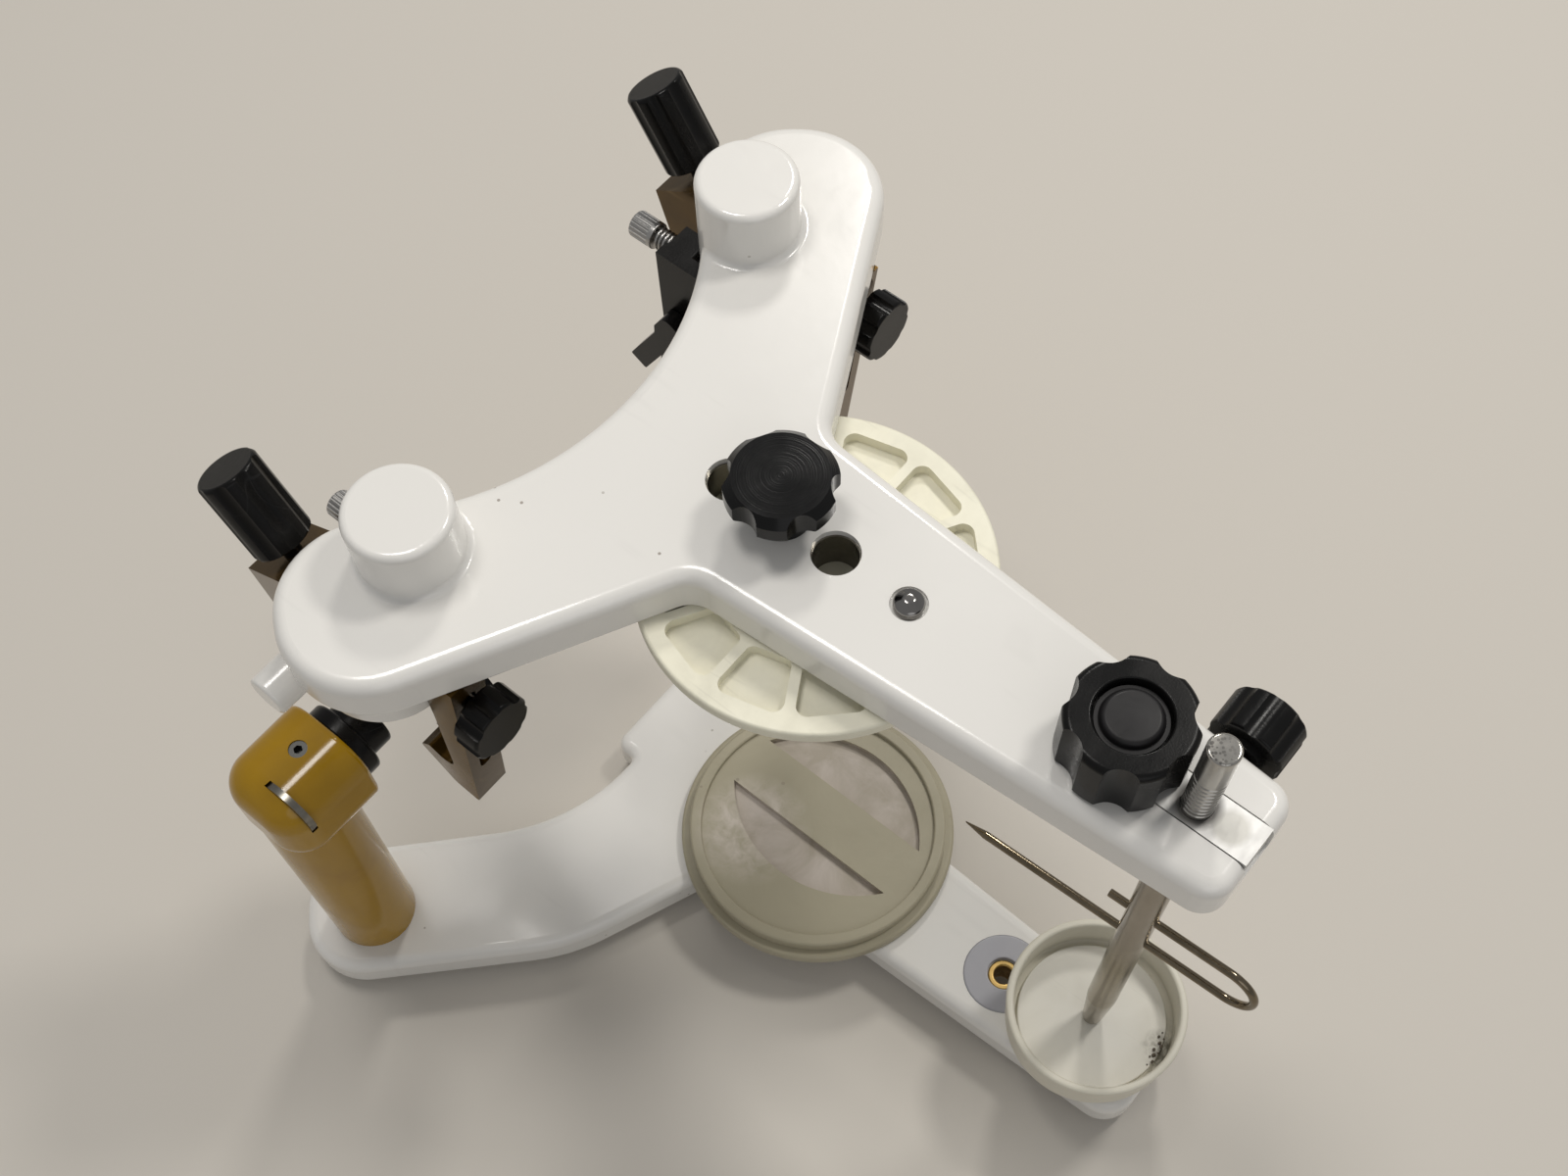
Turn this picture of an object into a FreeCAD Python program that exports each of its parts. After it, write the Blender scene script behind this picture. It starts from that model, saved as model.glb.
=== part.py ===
# Dental articulator: parametric document, millimetres.
# X is lateral, the front of the articulator faces -Y, and Z is up.
# The origin is the bottom centre of the whole instrument.
import FreeCAD, Part
import math
import os
import re
import Sketcher
from FreeCAD import Placement, Rotation, Vector

doc = FreeCAD.newDocument("Articulator")
sheet = doc.addObject("Spreadsheet::Sheet", "Sizes")

sizes = {
    # layout: heights from the ground, depths from the line of the two caps
    "cap_line": 73.035,           # the caps stand this far behind the origin
    "foot_height": 4.0,
    "lower_thick": 11.0,
    "upper_under": 170.0,
    "upper_thick": 12.0,
    "condyle_back": 19.3,
    "condyle_high": 106.0,
    "ball_side": 57.0,
    "running_gap": 0.3,
    "fit_gap": 0.05,
    # upper frame
    "cap_side": 55.0,
    "cap_radius": 11.9,
    "cap_height": 15.7,
    "cap_round": 1.8,
    "cap_foot": 1.6,
    "vee_front": 28.9,
    "vee_round": 75.0,
    "lobe_back_side": 72.7,
    "lobe_back": 27.8,
    "lobe_out_side": 100.6,
    "lobe_out_front": 8.5,
    "lobe_round": 20.0,
    "root_half": 22.8,
    "root_front": 49.5,
    "root_round": 7.0,
    "tip_half": 14.4,
    "tip_front": 174.3,
    "tip_round": 6.0,
    "edge_round": 3.4,
    "under_round": 1.2,
    "hub_front": 55.2,
    "bore_step": 14.4,
    "bore_radius": 5.0,
    "bush_wall": 0.4,
    "bush_drop": 1.6,
    "dome_front": 88.8,
    "dome_radius": 3.4,
    "dome_shank": 1.6,
    # mounting plates
    "plate_front": 64.0,
    "plate_radius": 39.8,
    "plate_thick": 8.0,
    "plate_flange": 4.0,
    "plate_step": 2.6,
    "plate_floor": 1.4,
    "plate_rib_inner": 22.5,
    "plate_rib": 2.4,
    "plate_pockets": 12,
    "pocket_wall": 4.6,
    "face_ring": 3.4,
    "face_depth": 1.4,
    "left_slot_start": 4.4,
    "left_slot_wide": 13.0,
    "right_slot_start": 12.0,
    "right_slot_wide": 15.0,
    "slot_half_long": 28.0,
    "slot_depth": 2.2,
    # hub knob
    "hub_knob_radius": 12.2,
    "hub_knob_thick": 6.2,
    "hub_knob_lift": 9.4,
    "hub_knob_lobes": 6,
    "hub_flute": 4.4,
    "hub_chamfer": 1.9,
    "hub_neck": 6.5,
    "stud_radius": 3.0,
    # carriage, pin and clamps at the front
    "carriage_half": 4.8,
    "carriage_thick": 8.0,
    "carriage_back": 129.3,
    "carriage_travel": 4.0,
    "pin_front": 159.4,
    "pin_radius": 3.4,
    "pin_above": 26.1,
    "pin_low_radius": 3.9,
    "pin_tip_radius": 2.6,
    "pin_taper": 20.0,
    "pin_lift": 20.0,
    "pin_float": 0.3,
    "mark_count": 9,
    "mark_pitch": 1.6,
    "mark_depth": 0.35,
    "clamp_front": 141.3,
    "clamp_radius": 13.4,
    "clamp_height": 16.2,
    "clamp_flutes": 7,
    "clamp_flute": 5.0,
    "clamp_dish": 7.6,
    "clamp_dish_deep": 3.0,
    "clamp_stud": 2.5,
    "side_radius": 8.6,
    "side_long": 10.5,
    "side_flutes": 8,
    "side_flute": 3.4,
    "side_drop": 6.0,
    "side_stud": 2.2,
    "wire_radius": 1.05,
    "wire_drop": 79.8,
    "wire_pitch": 14.6,
    "wire_back": 48.6,
    "wire_ahead": 24.5,
    "wire_stub": 7.5,
    "wire_point": 6.0,
    "wire_slope": 5.5,
    # lower frame and posts
    "post_side": 99.0,
    "post_back": 21.3,
    "post_radius": 11.8,
    "post_socket": 6.0,
    "lower_lobe_half": 18.8,
    "lower_lobe_end": 20.0,
    "lower_lobe_round": 17.0,
    "tongue_half": 15.5,
    "tongue_back": 2.5,
    "lower_back": 5.2,
    "arm_bend_side": 42.2,
    "arm_bend_round": 60.0,
    "arm_front_side": 72.0,
    "arm_front": 30.1,
    "lower_root_half": 19.5,
    "lower_root_front": 51.3,
    "lower_root_round": 8.0,
    "lower_tip_half": 15.0,
    "lower_tip_front": 181.0,
    "lower_tip_round": 9.0,
    "knob_well": 13.0,
    "knob_well_deep": 7.5,
    "foot_radius": 10.0,
    "foot_front": 171.0,
    "foot_bore": 5.0,
    "bolt_radius": 2.5,
    "bolt_head": 4.4,
    "bolt_head_high": 3.0,
    "bolt_reach": 16.0,
    "head_inner": 84.5,
    "head_past_post": 0.5,
    "head_half": 13.4,
    "head_round": 9.5,
    "head_end_round": 9.0,
    "head_face_round": 1.4,
    "axle_radius": 3.0,
    "axle_in_head": 14.0,
    "axle_bare": 3.5,
    "ball_radius": 6.0,
    "collar_radius": 10.5,
    "collar_thick": 4.5,
    "collar_neck": 7.8,
    "collar_end": 73.4,
    "grub_radius": 2.3,
    "grub_side": 93.0,
    "slit_inset": 7.6,
    "slit_wide": 1.8,
    "slit_wheel": 8.2,
    "slit_ahead": 6.3,
    "slit_rise": 7.2,
    # incisal table
    "cup_radius": 24.1,
    "cup_rim": 43.7,
    "cup_deep": 16.5,
    "cup_wall": 2.2,
    "cup_base": 4.0,
    "cup_stem": 13.0,
    "liner_thick": 1.6,
    "disc_front": 132.0,
    "disc_radius": 11.5,
    "disc_thick": 1.6,
    "disc_hole": 4.6,
    "brass_bore": 2.6,
    # condylar mechanism
    "housing_side": 69.0,
    "housing_back": 3.4,
    "housing_radius": 16.2,
    "housing_high": 21.0,
    "boss_radius": 5.0,
    "boss_end": 95.0,
    "boss_back": 10.6,
    "boss_drop": 8.6,
    "bracket_inner": 62.6,
    "bracket_wide": 9.4,
    "bracket_gap": 0.4,
    "bracket_deep": 11.3,
    "bracket_slot": 3.4,
    "slot_top": 7.0,
    "slot_bottom": 14.0,
    "hook_front": 35.5,
    "hook_toe": 27.8,
    "hook_tip": 18.7,
    "hook_inside": 22.5,
    "hook_throat": 30.7,
    "hook_nose": 1.0,
    "hook_low": 4.5,
    "hook_high": 10.8,
    "lock_side": 67.3,
    "lock_radius": 8.0,
    "lock_long": 7.0,
    "lock_drop": 13.5,
    "lock_gap": 0.5,
    "lock_grip": 3.0,
    "lock_stud": 1.5,
    "lock_lobes": 8,
    "lock_flute": 2.4,
    "box_tilt": 34.0,
    "box_inner": 47.4,
    "box_outer": 61.6,
    "box_travel": 8.0,
    "box_wall": 3.0,
    "box_skirt": 7.0,
    "cheek_inner": 42.8,
    "cheek_outer": 46.8,
    "cheek_radius": 8.0,
    "cheek_block": 54.0,
    "cheek_front": 27.3,
    "cheek_knee": 24.0,
    "cheek_shin": 6.0,
    "ledge_front": 7.8,
    "ledge_gap": 1.2,
    "ledge_low": 24.0,
    "trunnion_radius": 3.6,
    "rear_side": 68.0,
    "rear_tilt": 32.0,
    "rear_back": 27.0,
    "rear_block_half": 8.0,
    "rear_block_high": 20.0,
    "rear_knob_radius": 7.3,
    "rear_knob_long": 20.5,
    "rear_knob_lift": 3.4,
    "rear_knob_grip": 9.0,
    "rear_stud": 2.2,
    "rear_flutes": 8,
    "rear_flute": 4.0,
    "screw_side": 51.0,
    "screw_drop": 7.2,
    "screw_grip": 6.0,
    "screw_head": 3.4,
    "screw_head_long": 7.0,
    "screw_shank": 1.4,
    "latch_thick": 4.0,
    "latch_peg": 2.0,
    "latch_drop": 22.3,
    "latch_ahead": 5.6,
    "latch_long": 24.0,
    "latch_half": 2.7,
    "latch_lean": 58.7,
    "spring_long": 7.0,
    "spring_turns": 5,
    "spring_radius": 2.4,
    "spring_wire": 0.45,
    "knurl_count": 20,
    "knurl_radius": 0.35,
    "cheek_bend": 10.0,
    # sloping rear block, measured from the line of its knob
    "rear_inside": 10.0,
    "rear_flat": 5.8,
    "rear_rise": 3.6,
    "rear_past": 7.8,
    "rear_drop": 4.9,
    "rear_foot": 3.6,
}

# worked out from the sizes, in the same words
places = {
    "lower_top": "foot_height + lower_thick",
    "upper_top": "upper_under + upper_thick",
    "plate_offset": "plate_front - hub_front",
    "post_outside": "post_side + post_radius",
    "head_long": "post_outside + head_past_post - head_inner",
    "slit_side": "head_inner + head_long - slit_inset",
    "bracket_back": "housing_back - housing_radius - bracket_gap",
    "bracket_front": "bracket_back - bracket_deep",
    "lock_front": "lock_gap - bracket_front",
    "cup_bottom": "cup_rim - cup_deep",
    "cup_floor": "cup_bottom + cup_base",
    "liner_top": "cup_floor + liner_thick",
    "pin_bottom": "liner_top + pin_float",
    "box_roof": "ball_radius + running_gap",
    "half_pitch": "180 / plate_pockets",
    "tip_slope": "(root_half - tip_half) / (tip_front - root_front)",
}

for row, (alias, number) in enumerate(sizes.items(), 1):
    sheet.set("A%d" % row, alias)
    sheet.set("B%d" % row, str(number))
    sheet.setAlias("B%d" % row, alias)
doc.recompute()


# Expression text in which every size and place is spelled out for the document.
def spelled(text):
    def word(match):
        name = match.group(0)
        if name in sizes:
            return "Sizes." + name
        if name in places:
            return "(" + spelled(places[name]) + ")"
        return name
    return re.sub(r"[a-z][a-z_0-9]*", word, str(text))


def value(text):
    return float(sheet.evalExpression(spelled(text)))


def bind(thing, prop, text):
    thing.setExpression(prop, spelled(text))


def place(thing, x=0, y=0, z=0, turn=Rotation()):
    thing.Placement = Placement(Vector(), turn)
    for axis, text in (("x", x), ("y", y), ("z", z)):
        bind(thing, "Placement.Base." + axis, text)


to_right = Rotation(Vector(0, 1, 0), 90)      # local Z along +X
to_left = Rotation(Vector(0, 1, 0), -90)      # local Z along -X
to_front = Rotation(Vector(1, 0, 0), 90)      # local Z along -Y
to_back = Rotation(Vector(1, 0, 0), -90)      # local Z along +Y


# Sketch helpers
def new_body(label):
    body = doc.addObject("PartDesign::Body", label)
    body.Label = label
    return body


def new_sketch(body, role="XY_Plane", lift=0):
    sketch = body.newObject("Sketcher::SketchObject", body.Name + "_sketch")
    origin_plane = next(f for f in body.Origin.OriginFeatures if f.Role == role)
    sketch.AttachmentSupport = [(origin_plane, "")]
    sketch.MapMode = "FlatFace"
    bind(sketch, "AttachmentOffset.Base.z", lift)
    return sketch


def pin_down(sketch, geometry, corner, x, y):
    for kind, text in (("DistanceX", x), ("DistanceY", y)):
        index = sketch.addConstraint(Sketcher.Constraint(kind, -1, 1, geometry, corner, value(text)))
        bind(sketch, "Constraints[%d]" % index, text)


def add_circle(sketch, x, y, radius):
    centre = Vector(value(x), value(y), 0)
    circle = sketch.addGeometry(Part.Circle(centre, Vector(0, 0, 1), value(radius)), False)
    pin_down(sketch, circle, 3, x, y)
    index = sketch.addConstraint(Sketcher.Constraint("Radius", circle, value(radius)))
    bind(sketch, "Constraints[%d]" % index, radius)


# A closed line through corners (x, y), or (x, y, radius) where the corner is rounded.
def add_outline(sketch, corners):
    spots = [Vector(value(c[0]), value(c[1]), 0) for c in corners]
    arrive, leave, middles = [], [], []
    for i, corner in enumerate(corners):
        here = spots[i]
        to_last = (spots[i - 1] - here).normalize()
        to_next = (spots[(i + 1) % len(spots)] - here).normalize()
        half = to_last.getAngle(to_next) / 2
        radius = value(corner[2]) if len(corner) > 2 else 0
        arrive.append(here + to_last * (radius / math.tan(half)))
        leave.append(here + to_next * (radius / math.tan(half)))
        middles.append(here + (to_last + to_next).normalize() * (radius / math.sin(half)))
    lines = []
    for i in range(len(spots)):
        ahead = (i + 1) % len(spots)
        lines.append(sketch.addGeometry(Part.LineSegment(leave[i], arrive[ahead]), False))
    for i, corner in enumerate(corners):
        before, after = lines[i - 1], lines[i]
        if len(corner) == 2:
            sketch.addConstraint(Sketcher.Constraint("Coincident", before, 2, after, 1))
            pin_down(sketch, after, 1, corner[0], corner[1])
            continue
        first = (arrive[i] - middles[i])
        last = (leave[i] - middles[i])
        counter = first.cross(last).z > 0
        begin, end = (first, last) if counter else (last, first)
        circle = Part.Circle(middles[i], Vector(0, 0, 1), value(corner[2]))
        span = (math.atan2(begin.y, begin.x), math.atan2(end.y, end.x))
        arc = sketch.addGeometry(Part.ArcOfCircle(circle, span[0], span[1]), False)
        near, far = (1, 2) if counter else (2, 1)
        corner_point = sketch.addGeometry(Part.Point(spots[i]), True)
        sketch.addConstraint([
            Sketcher.Constraint("Tangent", before, 2, arc, near),
            Sketcher.Constraint("Tangent", arc, far, after, 1),
            Sketcher.Constraint("PointOnObject", corner_point, 1, before),
            Sketcher.Constraint("PointOnObject", corner_point, 1, after)])
        index = sketch.addConstraint(Sketcher.Constraint("Radius", arc, value(corner[2])))
        bind(sketch, "Constraints[%d]" % index, corner[2])
        pin_down(sketch, corner_point, 1, corner[0], corner[1])


def mirrored(corners):
    other = [("-(%s)" % c[0],) + tuple(c[1:]) for c in reversed(corners)]
    return list(corners) + other


# Feature helpers
def add_pad(body, sketch, length, both_ways=False, backwards=False):
    pad = body.newObject("PartDesign::Pad", body.Name + "_pad")
    pad.Profile = sketch
    pad.Midplane = both_ways
    pad.Reversed = backwards
    bind(pad, "Length", length)
    doc.recompute()
    return pad


def add_cut(body, sketch, depth=None, backwards=False):
    before = body.Tip.Shape.Volume
    cut = body.newObject("PartDesign::Pocket", body.Name + "_cut")
    cut.Profile = sketch
    cut.Reversed = backwards
    if depth is None:
        cut.Type = 1
        cut.Midplane = True
    else:
        bind(cut, "Length", depth)
    doc.recompute()
    assert body.Shape.Volume < before, body.Label + ": a cut missed"
    return cut


def add_turning(body, corners, groove=False):
    sketch = new_sketch(body, "XZ_Plane")
    add_outline(sketch, corners)
    kind = "Groove" if groove else "Revolution"
    turning = body.newObject("PartDesign::" + kind, body.Name + "_turning")
    turning.Profile = sketch
    turning.ReferenceAxis = (sketch, ["V_Axis"])
    doc.recompute()
    return turning


def add_ring_of(body, feature, count):
    ring = body.newObject("PartDesign::PolarPattern", body.Name + "_ring")
    ring.Originals = [feature]
    ring.Axis = (feature.Profile[0], ["N_Axis"])
    ring.Angle = 360
    bind(ring, "Occurrences", count)
    body.Tip = ring
    doc.recompute()
    return ring


def add_rounding(body, chosen, radius, kind="Fillet"):
    base = body.Tip
    names = ["Edge%d" % i for i, edge in enumerate(base.Shape.Edges, 1) if chosen(edge)]
    assert names, body.Label + ": no edge to round"
    rounding = body.newObject("PartDesign::" + kind, body.Name + "_rounding")
    rounding.Base = (base, names)
    bind(rounding, "Radius" if kind == "Fillet" else "Size", radius)
    doc.recompute()
    return rounding


# edges that lie flat at one height, in the body's own frame
def at_height(text):
    level = value(text)
    return lambda edge: max(abs(v.Z - level) for v in edge.Vertexes) < 1e-4 and edge.BoundBox.ZLength < 1e-4


def turned(label, corners):
    body = new_body(label)
    add_turning(body, corners)
    return body


def rod(label, radius, length):
    bar = doc.addObject("Part::Cylinder", label)
    bar.Label = label
    bind(bar, "Radius", radius)
    bind(bar, "Height", length)
    return bar


def block(label, wide, deep, high):
    box = doc.addObject("Part::Box", label)
    box.Label = label
    bind(box, "Length", wide)
    bind(box, "Width", deep)
    bind(box, "Height", high)
    return box


def joined(kind, label, pieces):
    whole = doc.addObject("Part::" + kind, label)
    whole.Label = label
    if kind == "Cut":
        whole.Base, whole.Tool = pieces
    elif kind == "Compound":
        whole.Links = pieces
    else:
        whole.Shapes = pieces
    doc.recompute()
    return whole


nodes = []


def keep(thing):
    nodes.append(thing)
    return thing


def depth(text):
    return "cap_line - (%s)" % text


sides = (("left", -1), ("right", 1))


# Lower frame
lower = new_body("lower_frame")
outline_sketch = new_sketch(lower)
add_outline(outline_sketch, mirrored([
    ("tongue_half", "tongue_back", "edge_round + 0.6"),
    ("tongue_half", "-lower_back", 2),
    ("arm_bend_side", "-lower_back", "arm_bend_round"),
    ("post_side + 0.7071 * (lower_lobe_end - lower_lobe_half)",
     "post_back + 0.7071 * (lower_lobe_end + lower_lobe_half)", "lower_lobe_round"),
    ("post_side + 0.7071 * (lower_lobe_end + lower_lobe_half)",
     "post_back + 0.7071 * (lower_lobe_end - lower_lobe_half)", "lower_lobe_round"),
    ("arm_front_side", "-arm_front", "arm_bend_round"),
    ("lower_root_half", "-lower_root_front", "lower_root_round"),
    ("lower_tip_half", "-lower_tip_front", "lower_tip_round"),
]))
add_pad(lower, outline_sketch, "lower_thick")
add_rounding(lower, at_height("lower_thick"), "edge_round")
add_rounding(lower, at_height("0"), "under_round")
well = new_sketch(lower)
add_circle(well, 0, "-hub_front", "knob_well")
add_cut(lower, well, "knob_well_deep", backwards=True)
table_well = new_sketch(lower)
add_circle(table_well, 0, "-pin_front", "bolt_head + running_gap")
add_cut(lower, table_well, "bolt_head_high + 0.5", backwards=True)
disc_seat = new_sketch(lower, lift="lower_thick")
add_circle(disc_seat, 0, "-disc_front", "disc_radius + fit_gap")
add_cut(lower, disc_seat, "disc_thick - 0.3")
bores = new_sketch(lower)
add_circle(bores, 0, "-hub_front", "stud_radius + running_gap")
add_circle(bores, 0, "-pin_front", "bolt_radius + fit_gap")
add_circle(bores, 0, "-disc_front", "disc_hole - 0.2 + fit_gap")
for name, side in sides:
    add_circle(bores, "%d * post_side" % side, "post_back", "bolt_radius + fit_gap")
add_cut(lower, bores)
place(lower, 0, "cap_line", "foot_height")
keep(lower)

# Posts, each with its threaded bore, and the heads that hold the axles.
post_high = "condyle_high - head_half + post_socket - lower_top"
bolt_bore = "bolt_radius + fit_gap"
bolts, feet, grubs, wheels = [], [], [], []
for name, side in sides:
    post = turned("post_" + name, [
        (bolt_bore, 0),
        ("post_radius", 0),
        ("post_radius", post_high),
        (0, post_high),
        (0, "bolt_reach + 0.6"),
        (bolt_bore, "bolt_reach + 0.6"),
    ])
    place(post, "%d * post_side" % side, depth("-post_back"), "lower_top")
    keep(post)

    head = new_body("post_head_" + name)
    section = new_sketch(head, "YZ_Plane")
    add_outline(section, [
        ("head_half", "head_half", "head_round"),
        ("-head_half", "head_half", "head_round"),
        ("-head_half", "-head_half", "head_round"),
        ("head_half", "-head_half", "head_round"),
    ])
    add_pad(head, section, "head_long", backwards=side < 0)
    outer_end = side * value("head_long")
    add_rounding(head, lambda e: all(abs(v.X - outer_end) < 1e-4 for v in e.Vertexes), "head_end_round")
    add_rounding(head, lambda e: all(abs(v.X) < 1e-4 for v in e.Vertexes), "head_face_round")
    socket = new_sketch(head, lift="-head_half")
    add_circle(socket, "%d * (post_side - head_inner)" % side, "post_back - condyle_back",
               "post_radius + fit_gap")
    add_cut(head, socket, "post_socket", backwards=True)
    axle_bore = new_sketch(head, "YZ_Plane")
    add_circle(axle_bore, 0, 0, "axle_radius + fit_gap")
    add_cut(head, axle_bore, "axle_in_head", backwards=side > 0)
    grub_bore = new_sketch(head, lift="head_half")
    add_circle(grub_bore, "%d * (grub_side - head_inner)" % side, 0, "grub_radius + fit_gap")
    add_cut(head, grub_bore, "head_half - axle_radius")
    slit = new_sketch(head, "YZ_Plane", "%d * (slit_side - head_inner) - slit_wide / 2" % side)
    add_circle(slit, "-slit_ahead", "slit_rise", "slit_wheel")
    add_cut(head, slit, "slit_wide", backwards=True)
    place(head, "%d * head_inner" % side, depth("-condyle_back"), "condyle_high")
    keep(head)

    wheel = rod("slit_wheel_" + name, "slit_wheel - 0.5", "slit_wide - 2 * fit_gap")
    place(wheel, "%d * slit_side - slit_wide / 2 + fit_gap" % side,
          depth("slit_ahead - condyle_back"), "condyle_high + slit_rise", to_right)
    wheels.append(wheel)

    grub = new_body("grub_" + name)
    grub_disc = new_sketch(grub)
    add_circle(grub_disc, 0, 0, "grub_radius")
    add_pad(grub, grub_disc, "head_half - axle_radius - 0.4")
    hexagon = new_sketch(grub, lift="head_half - axle_radius - 0.4")
    add_outline(hexagon, [("0.52 * grub_radius * cos(%d)" % a, "0.52 * grub_radius * sin(%d)" % a)
                          for a in range(0, 360, 60)])
    add_cut(grub, hexagon, "grub_radius")
    place(grub, "%d * grub_side" % side, depth("-condyle_back"), "condyle_high + axle_radius")
    grubs.append(grub)

    axle = rod("axle_" + name, "axle_radius",
               "head_inner + axle_in_head - ball_side + axle_bare")
    place(axle, "%d * (ball_side - axle_bare)" % side, depth("-condyle_back"), "condyle_high",
          to_right if side > 0 else to_left)
    keep(axle)

    collar = turned("axle_collar_" + name, [
        ("axle_radius + fit_gap", 0),
        ("collar_radius", 0, 0.8),
        ("collar_radius", "collar_thick", 1),
        ("collar_neck", "collar_thick"),
        ("collar_neck", "head_inner - collar_end", 1),
        ("axle_radius + fit_gap", "head_inner - collar_end"),
    ])
    place(collar, "%d * head_inner" % side, depth("-condyle_back"), "condyle_high",
          to_left if side > 0 else to_right)
    keep(collar)

    bolt = turned("bolt_" + name, [
        (0, 0),
        ("bolt_head", 0, 0.5),
        ("bolt_head", "bolt_head_high"),
        ("bolt_radius", "bolt_head_high"),
        ("bolt_radius", "bolt_head_high + lower_thick + bolt_reach"),
        (0, "bolt_head_high + lower_thick + bolt_reach"),
    ])
    place(bolt, "%d * post_side" % side, depth("-post_back"), "foot_height - bolt_head_high")
    bolts.append(bolt)

    foot = turned("foot_" + name, [
        ("foot_bore", 0),
        ("foot_radius", 0, 0.8),
        ("foot_radius", "foot_height"),
        ("foot_bore", "foot_height"),
    ])
    place(foot, "%d * post_side" % side, depth("-post_back"), 0)
    feet.append(foot)

front_foot = turned("front_foot", [
    (0, 0),
    ("foot_radius - 2", 0, 0.8),
    ("foot_radius - 2", "foot_height"),
    (0, "foot_height"),
])
place(front_foot, 0, depth("foot_front + 1.5"), 0)
feet.append(front_foot)
keep(joined("Compound", "rubber_feet", feet))
keep(joined("Compound", "post_bolts", bolts))
keep(joined("Compound", "head_grub_screws", grubs))
keep(joined("Compound", "slit_wheels", wheels))


# Mounting plates
# Back at z = 0 with a ring of pockets, face above with two retention slots.
def mounting_plate(label):
    plate = new_body(label)
    step = "plate_radius - plate_step"
    face = "plate_thick - face_depth"
    add_turning(plate, [
        (0, 0),
        ("plate_radius", 0, 0.8),
        ("plate_radius", "plate_flange", 1.0),
        (step, "plate_flange"),
        (step, "plate_thick", 0.8),
        (step + " - face_ring", "plate_thick", 0.5),
        (step + " - face_ring", face),
        (0, face),
    ])
    pocket = new_sketch(plate)
    corners = []
    for reach, side, radius in (
            ("plate_rib_inner", -1, 2), ("(plate_radius - pocket_wall)", -1, 2.5),
            ("(plate_radius - pocket_wall)", 1, 2.5), ("plate_rib_inner", 1, 2)):
        across = "%d * (%s * tan(half_pitch) - plate_rib / 2)" % (side, reach)
        corners.append(("%s * cos(half_pitch) - %s * sin(half_pitch)" % (reach, across),
                        "%s * sin(half_pitch) + %s * cos(half_pitch)" % (reach, across), radius))
    add_outline(pocket, corners)
    pocket_cut = add_cut(plate, pocket, face + " - slot_depth - plate_floor", backwards=True)
    add_ring_of(plate, pocket_cut, "plate_pockets")
    slots = new_sketch(plate, lift=face)
    for name, side in sides:
        start = "%d * %s_slot_start" % (side, name)
        wide = name + "_slot_wide"
        bow = "(slot_half_long * slot_half_long + %s * %s) / (2 * %s)" % (wide, wide, wide)
        peak = "2 * %s / (1 - %s * %s / (slot_half_long * slot_half_long))" % (wide, wide, wide)
        add_outline(slots, [
            (start, "slot_half_long"),
            (start, "-slot_half_long"),
            ("%s + %d * %s" % (start, side, peak), 0, "0.97 * %s" % bow),
        ])
    add_cut(plate, slots, "slot_depth")
    hub_bore = new_sketch(plate)
    add_circle(hub_bore, 0, "plate_offset", "stud_radius + fit_gap")
    add_cut(plate, hub_bore, "plate_thick - face_depth - plate_floor", backwards=True)
    return keep(plate)


lower_plate = mounting_plate("lower_mounting_plate")
place(lower_plate, 0, depth("plate_front"), "lower_top")
upper_plate = mounting_plate("upper_mounting_plate")
place(upper_plate, 0, depth("plate_front"), "upper_under", Rotation(Vector(0, 1, 0), 180))

# Flat thumb screw in its well under the lower plate.
thumb = turned("lower_plate_knob", [
    (0, 0),
    ("knob_well - 1.5", 0, 1),
    ("knob_well - 1.5", "knob_well_deep - 1.5", 1),
    ("stud_radius", "knob_well_deep - 1.5"),
    ("stud_radius", "lower_thick + plate_thick - face_depth - plate_floor - 1.8"),
    (0, "lower_thick + plate_thick - face_depth - plate_floor - 1.8"),
])
notch = new_sketch(thumb)
add_circle(notch, "knob_well + 0.5", 0, 3.2)
notch_cut = add_cut(thumb, notch, "knob_well_deep", backwards=True)
add_ring_of(thumb, notch_cut, 12)
place(thumb, 0, depth("hub_front"), "foot_height + 1")
keep(thumb)

# Incisal table
cup = turned("incisal_table", [
    ("bolt_radius", 0),
    ("cup_stem", 0, 1),
    ("cup_stem", "cup_bottom - lower_top"),
    ("cup_radius - 1.2", "cup_bottom - lower_top", 4),
    ("cup_radius", "cup_rim - lower_top", 0.8),
    ("cup_radius - cup_wall", "cup_rim - lower_top", 0.8),
    ("cup_radius - cup_wall", "cup_floor - lower_top", 1.5),
    ("bolt_radius", "cup_floor - lower_top"),
])
place(cup, 0, depth("pin_front"), "lower_top")
keep(cup)
liner = turned("table_liner", [
    (0, 0),
    ("cup_radius - cup_wall - 1.8", 0),
    ("cup_radius - cup_wall - 1.8", "liner_thick", 0.4),
    (0, "liner_thick"),
])
place(liner, 0, depth("pin_front"), "cup_floor")
keep(liner)
table_bolt = turned("table_bolt", [
    (0, 0),
    ("bolt_head", 0, 0.5),
    ("bolt_head", "bolt_head_high"),
    ("bolt_radius - fit_gap", "bolt_head_high"),
    ("bolt_radius - fit_gap", "cup_floor - foot_height - 1"),
    (0, "cup_floor - foot_height - 1"),
])
place(table_bolt, 0, depth("pin_front"), "foot_height + 0.5")
keep(table_bolt)
disc = turned("cover_disc", [
    ("disc_hole", 0),
    ("disc_radius", 0),
    ("disc_radius", "disc_thick", 0.5),
    ("disc_hole", "disc_thick", 0.4),
])
place(disc, 0, depth("disc_front"), "lower_top - disc_thick + 0.3")
keep(disc)
brass = turned("brass_bush", [
    ("brass_bore", 0),
    ("disc_hole - 0.2", 0),
    ("disc_hole - 0.2", "lower_thick - 1", 0.4),
    ("brass_bore", "lower_thick - 1", 0.6),
])
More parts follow.
